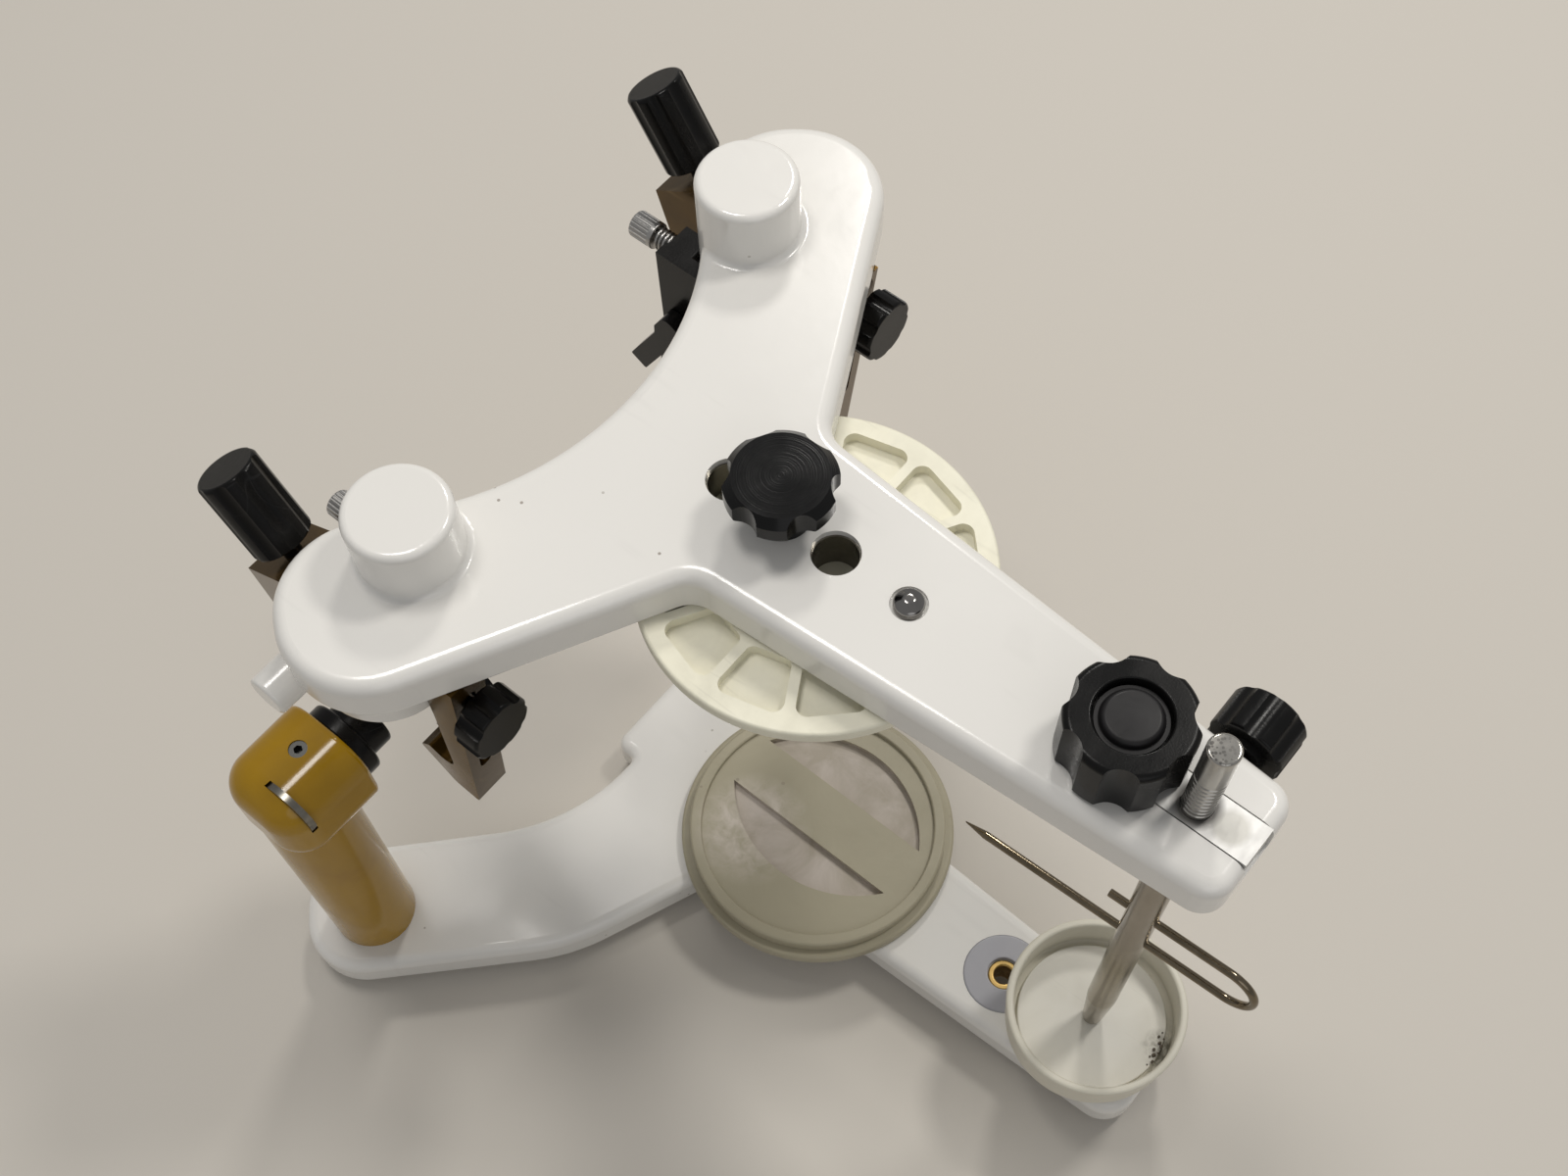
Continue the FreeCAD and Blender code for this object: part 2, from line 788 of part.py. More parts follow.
place(brass, 0, depth("disc_front"), "foot_height")
keep(brass)

# Upper frame
upper = new_body("upper_frame")
upper_outline = new_sketch(upper)
add_outline(upper_outline, [(0, "-vee_front", "vee_round")] + mirrored([
    ("lobe_back_side", "lobe_back", "lobe_round"),
    ("lobe_out_side", "-lobe_out_front", "lobe_round"),
    ("root_half", "-root_front", "root_round"),
    ("tip_half", "-tip_front", "tip_round"),
]))
add_pad(upper, upper_outline, "upper_thick")
add_rounding(upper, at_height("upper_thick"), "edge_round")
add_rounding(upper, at_height("0"), "under_round")


# the circles where the caps stand on the frame
def cap_feet(edge):
    middle = getattr(edge.Curve, "Center", None)
    return (middle is not None and at_height("upper_thick")(edge)
            and abs(edge.Curve.Radius - value("cap_radius")) < 1e-4)


caps = new_sketch(upper)
for name, side in sides:
    add_circle(caps, "%d * cap_side" % side, 0, "cap_radius")
add_pad(upper, caps, "upper_thick + cap_height")
add_rounding(upper, at_height("upper_thick + cap_height"), "cap_round")
add_rounding(upper, cap_feet, "cap_foot")
channel = new_sketch(upper, lift="upper_thick")
channel_half = "(carriage_half + running_gap)"
add_outline(channel, [
    (channel_half, "-carriage_back + running_gap"),
    ("-" + channel_half, "-carriage_back + running_gap"),
    ("-" + channel_half, "-tip_front - 5"),
    (channel_half, "-tip_front - 5"),
])
add_cut(upper, channel, "carriage_thick")


# A round-ended slot from y = front to y = back.
def add_long_hole(sketch, front, back, radius):
    add_outline(sketch, [
        (radius, "(%s) + (%s)" % (back, radius), "0.98 * (%s)" % radius),
        ("-(%s)" % radius, "(%s) + (%s)" % (back, radius), "0.98 * (%s)" % radius),
        ("-(%s)" % radius, "(%s) - (%s)" % (front, radius), "0.98 * (%s)" % radius),
        (radius, "(%s) - (%s)" % (front, radius), "0.98 * (%s)" % radius),
    ])


upper_bores = new_sketch(upper)
add_circle(upper_bores, 0, "-hub_front", "stud_radius + running_gap")
for step in ("-", "+"):
    add_circle(upper_bores, 0, "-hub_front %s bore_step" % step, "bore_radius + bush_wall")
add_circle(upper_bores, 0, "-dome_front", "dome_shank + fit_gap")
add_circle(upper_bores, 0, "-clamp_front", "clamp_stud + fit_gap")
add_long_hole(upper_bores, "-pin_front - carriage_travel", "-pin_front", "pin_radius + running_gap")
add_cut(upper, upper_bores)
dome_seat = new_sketch(upper, lift="upper_thick")
add_circle(dome_seat, 0, "-dome_front", "dome_radius + 0.7")
add_cut(upper, dome_seat, 1.0)
side_window = new_sketch(upper, "YZ_Plane")
window_radius = "side_stud + running_gap"
window_high = "upper_thick - side_drop"
add_outline(side_window, [
    ("-pin_front + %s" % window_radius, "%s + %s" % (window_high, window_radius), "0.9 * side_stud"),
    ("-pin_front - carriage_travel - (%s)" % window_radius,
     "%s + %s" % (window_high, window_radius), "0.9 * side_stud"),
    ("-pin_front - carriage_travel - (%s)" % window_radius,
     "%s - (%s)" % (window_high, window_radius), "0.9 * side_stud"),
    ("-pin_front + %s" % window_radius, "%s - (%s)" % (window_high, window_radius), "0.9 * side_stud"),
])
add_cut(upper, side_window, "2 * tip_half", backwards=True)
place(upper, 0, "cap_line", "upper_under")
keep(upper)

bushes = []
for step, name in (("-", "front"), ("+", "rear")):
    bush = turned("bush_" + name, [
        ("bore_radius", 0),
        ("bore_radius + bush_wall", 0),
        ("bore_radius + bush_wall", "upper_thick - bush_drop"),
        ("bore_radius", "upper_thick - bush_drop"),
    ])
    place(bush, 0, depth("hub_front %s bore_step" % ("+" if step == "-" else "-")), "upper_under")
    bushes.append(bush)
keep(joined("Compound", "register_bushes", bushes))

dome = turned("dome_screw", [
    (0, 0),
    ("dome_shank", 0),
    ("dome_shank", "upper_thick - 3"),
    ("dome_radius", "upper_thick - 3"),
    ("dome_radius", "upper_thick - 1.0", 1.2),
    ("0.35 * dome_radius", "upper_thick + 0.3", 1.5),
    (0, "upper_thick + 0.3"),
])
place(dome, 0, depth("dome_front"), "upper_under + 2")
keep(dome)


# Knobs with scalloped rims
def scalloped(label, corners, count, flute, circle):
    knob = turned(label, corners)
    scallop = new_sketch(knob)
    add_circle(scallop, circle, 0, flute)
    scallop_cut = add_cut(knob, scallop)
    add_ring_of(knob, scallop_cut, count)
    return knob


# Hub knob: its stud passes the frame and holds the upper plate.
hub_base = "upper_thick + hub_knob_lift"
hub_top = hub_base + " + hub_knob_thick"
stud_in = "plate_thick - face_depth - plate_floor - 0.6"
hub_knob = new_body("upper_plate_knob")
add_turning(hub_knob, [
    (0, hub_base),
    ("hub_knob_radius", hub_base, 0.8),
    ("hub_knob_radius", hub_top + " - hub_chamfer"),
    ("hub_knob_radius - hub_chamfer", hub_top),
    (0, hub_top),
])
scallop = new_sketch(hub_knob, lift=hub_base + " - 1")
add_circle(scallop, "hub_knob_radius + 0.58 * hub_flute", 0, "hub_flute")
scallop_cut = add_cut(hub_knob, scallop)
add_ring_of(hub_knob, scallop_cut, "hub_knob_lobes")
add_turning(hub_knob, [
    (0, "-(%s)" % stud_in),
    ("stud_radius", "-(%s)" % stud_in, 0.4),
    ("stud_radius", "upper_thick + running_gap"),
    ("hub_neck", "upper_thick + running_gap", 0.4),
    ("hub_neck - 1", hub_base + " + 1"),
    (0, hub_base + " + 1"),
])
place(hub_knob, 0, depth("hub_front"), "upper_under")
keep(hub_knob)

# Pin carriage at the front
carriage = new_body("pin_carriage")
bar = new_sketch(carriage)
add_outline(bar, [
    ("carriage_half", "-carriage_back"),
    ("-carriage_half", "-carriage_back"),
    ("-carriage_half", "-tip_front + 0.6"),
    ("carriage_half", "-tip_front + 0.6"),
])
add_pad(carriage, bar, "carriage_thick")
carriage_bores = new_sketch(carriage)
add_circle(carriage_bores, 0, "-pin_front", "pin_radius + fit_gap")
add_long_hole(carriage_bores, "-clamp_front", "-clamp_front + carriage_travel", "clamp_stud + running_gap")
add_cut(carriage, carriage_bores)
screw_bore = new_sketch(carriage, "YZ_Plane")
add_circle(screw_bore, "-pin_front", "carriage_thick - side_drop", "side_stud + fit_gap")
add_cut(carriage, screw_bore, "2 * carriage_half", backwards=True)
place(carriage, 0, "cap_line", "upper_top - carriage_thick")
keep(carriage)

clamp_dish = "clamp_height - clamp_dish_deep"
clamp = scalloped("carriage_knob", [
    (0, "-carriage_thick - 3"),
    ("clamp_stud", "-carriage_thick - 3"),
    ("clamp_stud", "running_gap"),
    ("clamp_radius", "running_gap", 0.8),
    ("clamp_radius", "clamp_height", 1.6),
    ("clamp_dish + 0.4", "clamp_height", 0.4),
    ("clamp_dish", clamp_dish),
    (0, clamp_dish),
], "clamp_flutes", "clamp_flute", "clamp_radius + 0.62 * clamp_flute")
place(clamp, 0, depth("clamp_front"), "upper_top")
keep(clamp)
insert = turned("carriage_knob_insert", [
    (0, 0),
    ("clamp_dish - 0.3", 0),
    ("clamp_dish - 0.3", "0.4 * clamp_dish_deep"),
    ("0.84 * clamp_dish", "0.4 * clamp_dish_deep", 0.3),
    ("0.78 * clamp_dish", "0.95 * clamp_dish_deep", 1.2),
    (0, "1.05 * clamp_dish_deep"),
])
place(insert, 0, depth("clamp_front"), "upper_top + " + clamp_dish)
keep(insert)

beam_half = "tip_half + (tip_front - pin_front) * tip_slope"
neck = "%s + 0.8 - pin_radius - 2 * fit_gap" % beam_half
side_knob = new_body("pin_clamp_knob")
add_turning(side_knob, [
    (0, neck + " + 1.6"),
    ("side_radius", neck + " + 1.6", 0.8),
    ("side_radius", neck + " + 1.6 + side_long", 1),
    (0, neck + " + 1.6 + side_long"),
])
flute = new_sketch(side_knob, lift=neck + " + 1.6")
add_circle(flute, "side_radius + 0.74 * side_flute", 0, "side_flute")
flute_cut = add_cut(side_knob, flute)
add_ring_of(side_knob, flute_cut, "side_flutes")
add_turning(side_knob, [
    (0, 0),
    ("side_stud", 0),
    ("side_stud", neck),
    ("side_radius - 3.5", neck),
    ("side_radius - 3.5", neck + " + 2"),
    (0, neck + " + 2"),
])
place(side_knob, "pin_radius + 2 * fit_gap", depth("pin_front"), "upper_top - side_drop", to_right)
keep(side_knob)

# Incisal pin with its ring graduations, bored for the pointer wire.
pin_long = "upper_top + pin_above - (pin_bottom)"
first_mark = pin_long + " - pin_above + 1.2"
pin_profile = [
    (0, 0),
    ("pin_tip_radius", 0, 0.8),
    ("pin_low_radius", "pin_taper"),
    ("pin_low_radius", pin_long + " - pin_above - upper_thick - pin_lift - 1", 0.3),
    ("pin_radius", pin_long + " - pin_above - upper_thick - pin_lift - 1"),
]
for mark in range(sizes["mark_count"]):
    low = "%s + %d * mark_pitch" % (first_mark, mark)
    pin_profile += [
        ("pin_radius", low),
        ("pin_radius - mark_depth", low + " + 0.25"),
        ("pin_radius - mark_depth", low + " + 0.55"),
        ("pin_radius", low + " + 0.8"),
    ]
pin_profile += [("pin_radius", pin_long, 0.6), (0, pin_long)]
bare_pin = turned("bare_pin", pin_profile)
wire_tilt = Rotation(Vector(1, 0, 0), -value("wire_slope"))
bores = []
for level in ("0", "wire_pitch"):
    bore = rod("wire_bore", "wire_radius + fit_gap", "4 * pin_low_radius")
    rise = "(upper_top - wire_drop - (pin_bottom) + (%s) / cos(wire_slope))" % level
    place(bore, 0, "-2 * pin_low_radius * cos(wire_slope)",
          rise + " + 2 * pin_low_radius * sin(wire_slope)", wire_tilt.multiply(to_back))
    bores.append(bore)
pin = joined("Cut", "incisal_pin", [bare_pin, joined("MultiFuse", "wire_bores", bores)])
place(pin, 0, depth("pin_front"), "pin_bottom")
keep(pin)

# Pointer: a hairpin of spring wire with a ground point on its long leg.
long_leg = rod("long_leg", "wire_radius", "wire_back - wire_point + wire_ahead")
place(long_leg, 0, "-wire_ahead", 0, to_back)
short_leg = rod("short_leg", "wire_radius", "wire_stub + wire_ahead")
place(short_leg, 0, "-wire_ahead", "wire_pitch", to_back)
point = doc.addObject("Part::Cone", "wire_tip")
bind(point, "Radius1", "wire_radius")
point.Radius2 = 0.15
bind(point, "Height", "wire_point")
place(point, 0, "wire_back - wire_point", 0, to_back)
bend = doc.addObject("Part::Torus", "wire_bend")
bind(bend, "Radius1", "wire_pitch / 2")
bind(bend, "Radius2", "wire_radius")
bend.Angle3 = 180
bend_turn = Rotation(Vector(0, 1, 0), 90).multiply(Rotation(Vector(0, 0, 1), 180))
place(bend, 0, "-wire_ahead", "wire_pitch / 2", bend_turn)
wire = joined("MultiFuse", "pointer_wire", [long_leg, short_leg, point, bend])
place(wire, 0, depth("pin_front"), "upper_top - wire_drop", wire_tilt)
keep(wire)


# Condylar mechanism
def condyle(text):
    return "condyle_high - upper_under + (%s)" % text


def build_side(name, side):
    axis_x = to_right if side > 0 else to_left
    start = "%d * " % side

    barrel = turned("barrel_" + name, [
        (0, 0),
        ("housing_radius", 0),
        ("housing_radius", "-housing_high", 1.6),
        (0, "-housing_high"),
    ])
    place(barrel, start + "housing_side", depth("-housing_back"), "upper_under")
    boss = turned("boss_" + name, [
        (0, 0),
        ("boss_radius", 0),
        ("boss_radius", "boss_end - housing_side", 0.9),
        (0, "boss_end - housing_side"),
    ])
    place(boss, start + "housing_side", depth("-boss_back"), "upper_under - boss_drop", axis_x)
    lock_bore = rod("lock_bore_" + name, "lock_stud + fit_gap", "housing_radius")
    place(lock_bore, start + "lock_side", depth("-housing_back + housing_radius - lock_grip - 0.6"),
          "upper_under - lock_drop", to_front)
    shell = joined("MultiFuse", "shell_" + name, [barrel, boss])
    keep(joined("Cut", "condylar_housing_" + name, [shell, lock_bore]))

    # Slotted bracket with the hook that closes the ball track from the front.
    bracket = new_body("condylar_bracket_" + name)
    hook = new_sketch(bracket, "YZ_Plane")
    add_outline(hook, [
        ("bracket_back", 0),
        ("bracket_front", 0),
        ("condyle_back - hook_front", condyle("-hook_low"), "hook_nose"),
        ("condyle_back - hook_toe", condyle("1 - hook_low"), "4 * hook_nose"),
        ("condyle_back - hook_tip", condyle("hook_high - hook_low + 0.7"), "hook_nose"),
        ("condyle_back - hook_inside", condyle("hook_high"), "hook_nose"),
        ("condyle_back - hook_throat", condyle("hook_high - hook_low"), "4 * hook_nose"),
        ("bracket_back", "-0.35 * (upper_under - condyle_high)", "3 * bracket_deep"),
    ])
    add_pad(bracket, hook, "bracket_wide", both_ways=True)
    slot = new_sketch(bracket, "XZ_Plane")
    add_outline(slot, [
        ("bracket_slot / 2", "-slot_top", "0.45 * bracket_slot"),
        ("-bracket_slot / 2", "-slot_top", "0.45 * bracket_slot"),
        ("-bracket_slot / 2", condyle("slot_bottom"), "0.45 * bracket_slot"),
        ("bracket_slot / 2", condyle("slot_bottom"), "0.45 * bracket_slot"),
    ])
    add_cut(bracket, slot)
    place(bracket, start + "(bracket_inner + bracket_wide / 2)", "cap_line", "upper_under")
    keep(bracket)

    lock = new_body("lock_knob_" + name)
    add_turning(lock, [
        (0, 0),
        ("lock_radius", 0, 0.6),
        ("lock_radius", "lock_long", 0.8),
        (0, "lock_long"),
    ])
    dent = new_sketch(lock)
    add_circle(dent, "lock_radius + 0.6 * lock_flute", 0, "lock_flute")
    dent_cut = add_cut(lock, dent)
    add_ring_of(lock, dent_cut, "lock_lobes")
    add_turning(lock, [
        (0, "-lock_front - housing_back + housing_radius - lock_grip"),
        ("lock_stud", "-lock_front - housing_back + housing_radius - lock_grip"),
        ("lock_stud", 0.4),
        (0, 0.4),
    ])
    place(lock, start + "lock_side", depth("lock_front"), "upper_under - lock_drop", to_front)
    keep(lock)

    # Cheek that carries the track block on its trunnion.
    cheek = new_body("track_cheek_" + name)
    leg = new_sketch(cheek, "YZ_Plane")
    add_outline(leg, [
        ("condyle_back", 0),
        ("condyle_back - cheek_front", 0),
        ("condyle_back - cheek_radius - cheek_shin", "-cheek_knee", "cheek_bend"),
        ("condyle_back - cheek_radius", condyle("-cheek_radius"), "0.8 * cheek_radius"),
        ("condyle_back + cheek_radius", condyle("-cheek_radius"), "0.8 * cheek_radius"),
        ("condyle_back", "-cheek_knee - 2", "cheek_bend"),
    ])
    add_pad(cheek, leg, "cheek_outer - cheek_inner", backwards=side < 0)
    ledge = new_sketch(cheek, "YZ_Plane")
    add_outline(ledge, [
        ("condyle_back", "-ledge_gap"),
        ("condyle_back - ledge_front", "-ledge_gap", 1),
        ("condyle_back - ledge_front", "-ledge_low", 1),
        ("condyle_back", "-ledge_low"),
    ])
    add_pad(cheek, ledge, "cheek_block - cheek_inner", backwards=side < 0)
    eye = new_sketch(cheek, "YZ_Plane")
    add_circle(eye, "condyle_back", condyle("0"), "trunnion_radius + fit_gap")
    add_circle(eye, "condyle_back - latch_ahead", "-latch_drop", "latch_peg + fit_gap")
    add_cut(cheek, eye)
    thread = new_sketch(cheek, "XZ_Plane", "-condyle_back")
    add_circle(thread, start + "(screw_side - cheek_inner)", "-screw_drop", "screw_shank + fit_gap")
    add_cut(cheek, thread, "screw_grip + 0.5", backwards=True)
    place(cheek, start + "cheek_inner", "cap_line", "upper_under")
    keep(cheek)

    # Track block: open below and towards the post, tilted to the condylar path.
    track = new_body("track_block_" + name)
    outer = new_sketch(track, "YZ_Plane")
    add_outline(outer, [
        ("box_roof + box_wall", "box_roof + box_wall", 2.5),
        ("-box_roof - box_travel - box_wall", "box_roof + box_wall", 5),
        ("-box_roof - box_travel - box_wall", "-box_skirt", 1.5),
        ("box_roof + box_wall", "-box_skirt", 1.5),
    ])
    add_pad(track, outer, "box_outer - box_inner", backwards=side < 0)
    lane = new_sketch(track, "YZ_Plane", start + "(box_outer - box_inner)")
    add_outline(lane, [
        ("box_roof", "box_roof"),
        ("-box_roof - box_travel", "box_roof"),
        ("-box_roof - box_travel", "-box_skirt - 1"),
        ("box_roof", "-box_skirt - 1"),
    ])
    add_cut(track, lane, "box_outer - box_inner - box_wall", backwards=side < 0)
    trunnion = new_sketch(track, "YZ_Plane")
    add_circle(trunnion, 0, 0, "trunnion_radius")
    add_pad(track, trunnion, "box_inner - cheek_inner", backwards=side > 0)
    place(track, start + "box_inner", depth("-condyle_back"), "condyle_high",
          Rotation(Vector(1, 0, 0), value("box_tilt")))
    keep(track)

    # Rear block hugs the housing; its sloping top carries the long knob.
    prism = new_body("prism_" + name)
    slope = new_sketch(prism, "YZ_Plane")
    add_outline(slope, [
        ("rear_inside", "-running_gap"),
        ("rear_back - rear_flat", "-running_gap"),
        ("rear_back - rear_flat", "rear_rise"),
        ("rear_back + rear_past", "-rear_drop"),
        ("rear_back + rear_foot", "-rear_block_high", 1),
        ("rear_inside", "-rear_block_high"),
    ])
    add_pad(prism, slope, "2 * rear_block_half", both_ways=True)
    place(prism, start + "rear_side", "cap_line", "upper_under")
    hollow = rod("hollow_" + name, "housing_radius", "housing_high")
    place(hollow, start + "housing_side", depth("-housing_back"), "upper_under - housing_high")
    tilt_back = Rotation(Vector(1, 0, 0), -value("rear_tilt"))
    rear_bore = rod("rear_bore_" + name, "rear_stud + fit_gap", "rear_knob_grip + 10")
    place(rear_bore, start + "rear_side", depth("-rear_back + (rear_knob_grip) * sin(rear_tilt)"),
          "upper_under - (rear_knob_grip) * cos(rear_tilt)", tilt_back)
    tools = joined("MultiFuse", "rear_tools_" + name, [hollow, rear_bore])
    keep(joined("Cut", "rear_block_" + name, [prism, tools]))

    rear = turned("rear_knob_" + name, [
        (0, "-rear_knob_grip + 1"),
        ("rear_stud", "-rear_knob_grip + 1"),
        ("rear_stud", "rear_knob_lift"),
        ("rear_knob_radius", "rear_knob_lift", 0.8),
        ("rear_knob_radius", "rear_knob_lift + rear_knob_long", 1),
        (0, "rear_knob_lift + rear_knob_long"),
    ])
    groove = new_sketch(rear, lift="rear_knob_lift")
    add_circle(groove, "rear_knob_radius + 0.86 * rear_flute", 0, "rear_flute")
    groove_cut = add_cut(rear, groove, "rear_knob_long", backwards=True)
    add_ring_of(rear, groove_cut, "rear_flutes")
    place(rear, start + "rear_side", depth("-rear_back"), "upper_under", tilt_back)
    keep(rear)

    # Knurled stop screw with its spring, behind the cheek.
    stop = new_body("stop_screw_" + name)
    add_turning(stop, [
        (0, "-screw_grip"),
        ("screw_shank", "-screw_grip"),
        ("screw_shank", "spring_long"),
        ("screw_head", "spring_long", 0.3),
        ("screw_head", "spring_long + screw_head_long", 0.6),
        (0, "spring_long + screw_head_long"),
    ])
    knurl = new_sketch(stop, lift="spring_long + 1.2")
    add_circle(knurl, "screw_head + 0.12", 0, "knurl_radius")
    knurl_cut = add_cut(stop, knurl, "screw_head_long", backwards=True)
    add_ring_of(stop, knurl_cut, "knurl_count")
    place(stop, start + "screw_side", depth("-condyle_back"), "upper_under - screw_drop", to_back)
    keep(stop)

    coil = doc.addObject("Part::Feature", "stop_spring_" + name)
    coil.Label = "stop_spring_" + name
    free = value("spring_long") - 2 * value("spring_wire") - 0.3
    pitch = free / sizes["spring_turns"]
    helix = Part.makeLongHelix(pitch, free, value("spring_radius"), 0, False)
    ring_centre = Vector(value("spring_radius"), 0, 0)
    ring = Part.Wire(Part.makeCircle(value("spring_wire"), ring_centre, Vector(0, 1, 0)))
    coil.Shape = Part.Wire(helix.Edges).makePipeShell([ring], True, True)
    place(coil, start + "screw_side", depth("-condyle_back - spring_wire - 0.1"),
          "upper_under - screw_drop", to_back)
    keep(coil)

    # Centric latch, a lever on the inner side of the cheek.
    latch = new_body("centric_latch_" + name)
    arm = new_sketch(latch, "YZ_Plane")
    add_outline(arm, [
        ("-1.5 * latch_half", "1.5 * latch_half", "latch_half"),
        ("-1.5 * latch_half", "-1.5 * latch_half", "latch_half"),
        ("latch_half", "-1.5 * latch_half", "0.4 * latch_half"),
        ("2 * latch_half", "-latch_half", "0.4 * latch_half"),
        ("latch_long", "-latch_half", 0.6),
        ("latch_long", "latch_half", 0.6),
        ("2 * latch_half", "latch_half", "0.4 * latch_half"),
        ("latch_half", "1.5 * latch_half", "0.4 * latch_half"),
    ])
    add_pad(latch, arm, "latch_thick", backwards=side > 0)
    peg = new_sketch(latch, "YZ_Plane")
    add_circle(peg, 0, 0, "latch_peg")
    add_pad(latch, peg, "cheek_outer - cheek_inner + 0.2", backwards=side < 0)
    place(latch, start + "(cheek_inner - running_gap)", depth("-condyle_back + latch_ahead"),
          "upper_under - latch_drop", Rotation(Vector(1, 0, 0), -value("latch_lean")))
    keep(latch)

    ball = doc.addObject("Part::Sphere", "sphere_" + name)
    bind(ball, "Radius", "ball_radius")
    ball.Placement.Rotation = to_right
    ball_bore = rod("ball_bore_" + name, "axle_radius + fit_gap", "4 * ball_radius")
    place(ball_bore, "-2 * ball_radius", 0, 0, to_right)
    condyle_ball = joined("Cut", "condyle_ball_" + name, [ball, ball_bore])
    place(condyle_ball, start + "ball_side", depth("-condyle_back"), "condyle_high")
    keep(condyle_ball)


for name, side in sides:
    build_side(name, side)

# Checks and files
doc.recompute()
for thing in doc.Objects:
    if "Invalid" in thing.State or "Error" in thing.State:
        raise RuntimeError("%s failed: %s" % (thing.Label, thing.State))
for node in nodes:
    if node.Shape.isNull() or not node.Shape.isValid():
        raise RuntimeError(node.Label + " has no sound shape")

os.makedirs("parts", exist_ok=True)
for node in nodes:
    node.Shape.exportStep(os.path.join("parts", node.Label + ".step"))
print(len(nodes), "nodes written")
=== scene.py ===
# Dental articulator: finishes, fine parts, light and camera around the fixed frame
import bpy
import math
from mathutils import Matrix, Vector


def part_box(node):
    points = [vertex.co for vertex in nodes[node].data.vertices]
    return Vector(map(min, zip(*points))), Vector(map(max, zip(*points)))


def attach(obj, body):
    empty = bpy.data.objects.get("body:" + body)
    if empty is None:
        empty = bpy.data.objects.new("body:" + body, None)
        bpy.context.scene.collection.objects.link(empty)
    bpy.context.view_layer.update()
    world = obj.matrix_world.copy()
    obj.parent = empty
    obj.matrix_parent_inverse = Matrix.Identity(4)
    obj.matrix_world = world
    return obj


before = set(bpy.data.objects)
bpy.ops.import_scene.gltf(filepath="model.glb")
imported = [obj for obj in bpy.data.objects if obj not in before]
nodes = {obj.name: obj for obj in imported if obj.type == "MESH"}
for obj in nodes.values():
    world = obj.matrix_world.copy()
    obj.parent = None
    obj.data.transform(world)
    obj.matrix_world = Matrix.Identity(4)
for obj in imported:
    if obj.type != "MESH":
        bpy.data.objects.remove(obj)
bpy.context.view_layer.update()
print("frame loaded:", len(nodes), "nodes")

mm = 0.001


# places read from a node's box
def middleOf(name):
    low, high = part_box(name)
    return (Vector(low) + Vector(high)) / 2


def topOf(name):
    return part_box(name)[1][2]


def underOf(name):
    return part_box(name)[0][2]


def radiusOf(name):
    low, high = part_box(name)
    return (high[0] - low[0]) / 2


# a point in the cup, from its angle about the cup's axis, distance from that axis and height
def cupPoint(angle, out, height):
    centre = middleOf("table_liner")
    return (centre.x + out * math.cos(math.radians(angle)),
            centre.y + out * math.sin(math.radians(angle)),
            height)


# shader helpers
def addNode(tree, kind, place=(0, 0), **settings):
    made = tree.nodes.new(kind)
    made.location = place
    for name, setting in settings.items():
        setattr(made, name, setting)
    return made


def setInputs(node, levels):
    for name, level in levels.items():
        node.inputs[name].default_value = level


def join(tree, source, output, target, socket):
    tree.links.new(source.outputs[output], target.inputs[socket])


# each stop is a place on the ramp and the grey level there
def rampNode(tree, place, stops):
    ramp = addNode(tree, "ShaderNodeValToRGB", place)
    while len(ramp.color_ramp.elements) < len(stops):
        ramp.color_ramp.elements.new(0.5)
    for element, (at, level) in zip(ramp.color_ramp.elements, stops):
        element.position = at
        element.color = (level, level, level, 1)
    return ramp


# inputs by name with their first level, None for a vector; every output is a level
def newGroup(name, inputs, outputs):
    group = bpy.data.node_groups.new(name, "ShaderNodeTree")
    for socketName, level in inputs.items():
        kind = "NodeSocketVector" if level is None else "NodeSocketFloat"
        socket = group.interface.new_socket(socketName, in_out="INPUT", socket_type=kind)
        if level is not None:
            socket.default_value = level
    for socketName in outputs:
        group.interface.new_socket(socketName, in_out="OUTPUT", socket_type="NodeSocketFloat")
    start = addNode(group, "NodeGroupInput", (-900, 0))
    end = addNode(group, "NodeGroupOutput", (700, 0))
    return group, start, end


# handling marks: soft cloudy wipes that change gloss and colour a little
def makeSmudges():
    group, start, end = newGroup("smudges", {"Vector": None, "Scale": 40.0, "Low": 0.2, "High": 0.35},
                                 ["Level", "Cloud"])
    cloud = addNode(group, "ShaderNodeTexNoise", (-600, 100))
    setInputs(cloud, {"Detail": 5, "Roughness": 0.62, "Distortion": 0.6})
    sharp = rampNode(group, (-350, 100), [(0.36, 0), (0.68, 1)])
    level = addNode(group, "ShaderNodeMapRange", (50, 100))
    join(group, start, "Vector", cloud, "Vector")
    join(group, start, "Scale", cloud, "Scale")
    join(group, cloud, "Fac", sharp, "Fac")
    join(group, sharp, "Color", level, "Value")
    join(group, start, "Low", level, "To Min")
    join(group, start, "High", level, "To Max")
    join(group, level, "Result", end, "Level")
    join(group, sharp, "Color", end, "Cloud")
    return group


# grain: fine height for moulded plastic, cast paint and blasted metal
def makeGrain():
    group, start, end = newGroup("grain", {"Vector": None, "Scale": 900.0, "Depth": 0.1}, ["Height"])
    fine = addNode(group, "ShaderNodeTexNoise", (-600, 0))
    setInputs(fine, {"Detail": 3})
    scaled = addNode(group, "ShaderNodeMath", (-300, 0), operation="MULTIPLY")
    join(group, start, "Vector", fine, "Vector")
    join(group, start, "Scale", fine, "Scale")
    join(group, fine, "Fac", scaled, 0)
    join(group, start, "Depth", scaled, 1)
    join(group, scaled, "Value", end, "Height")
    return group


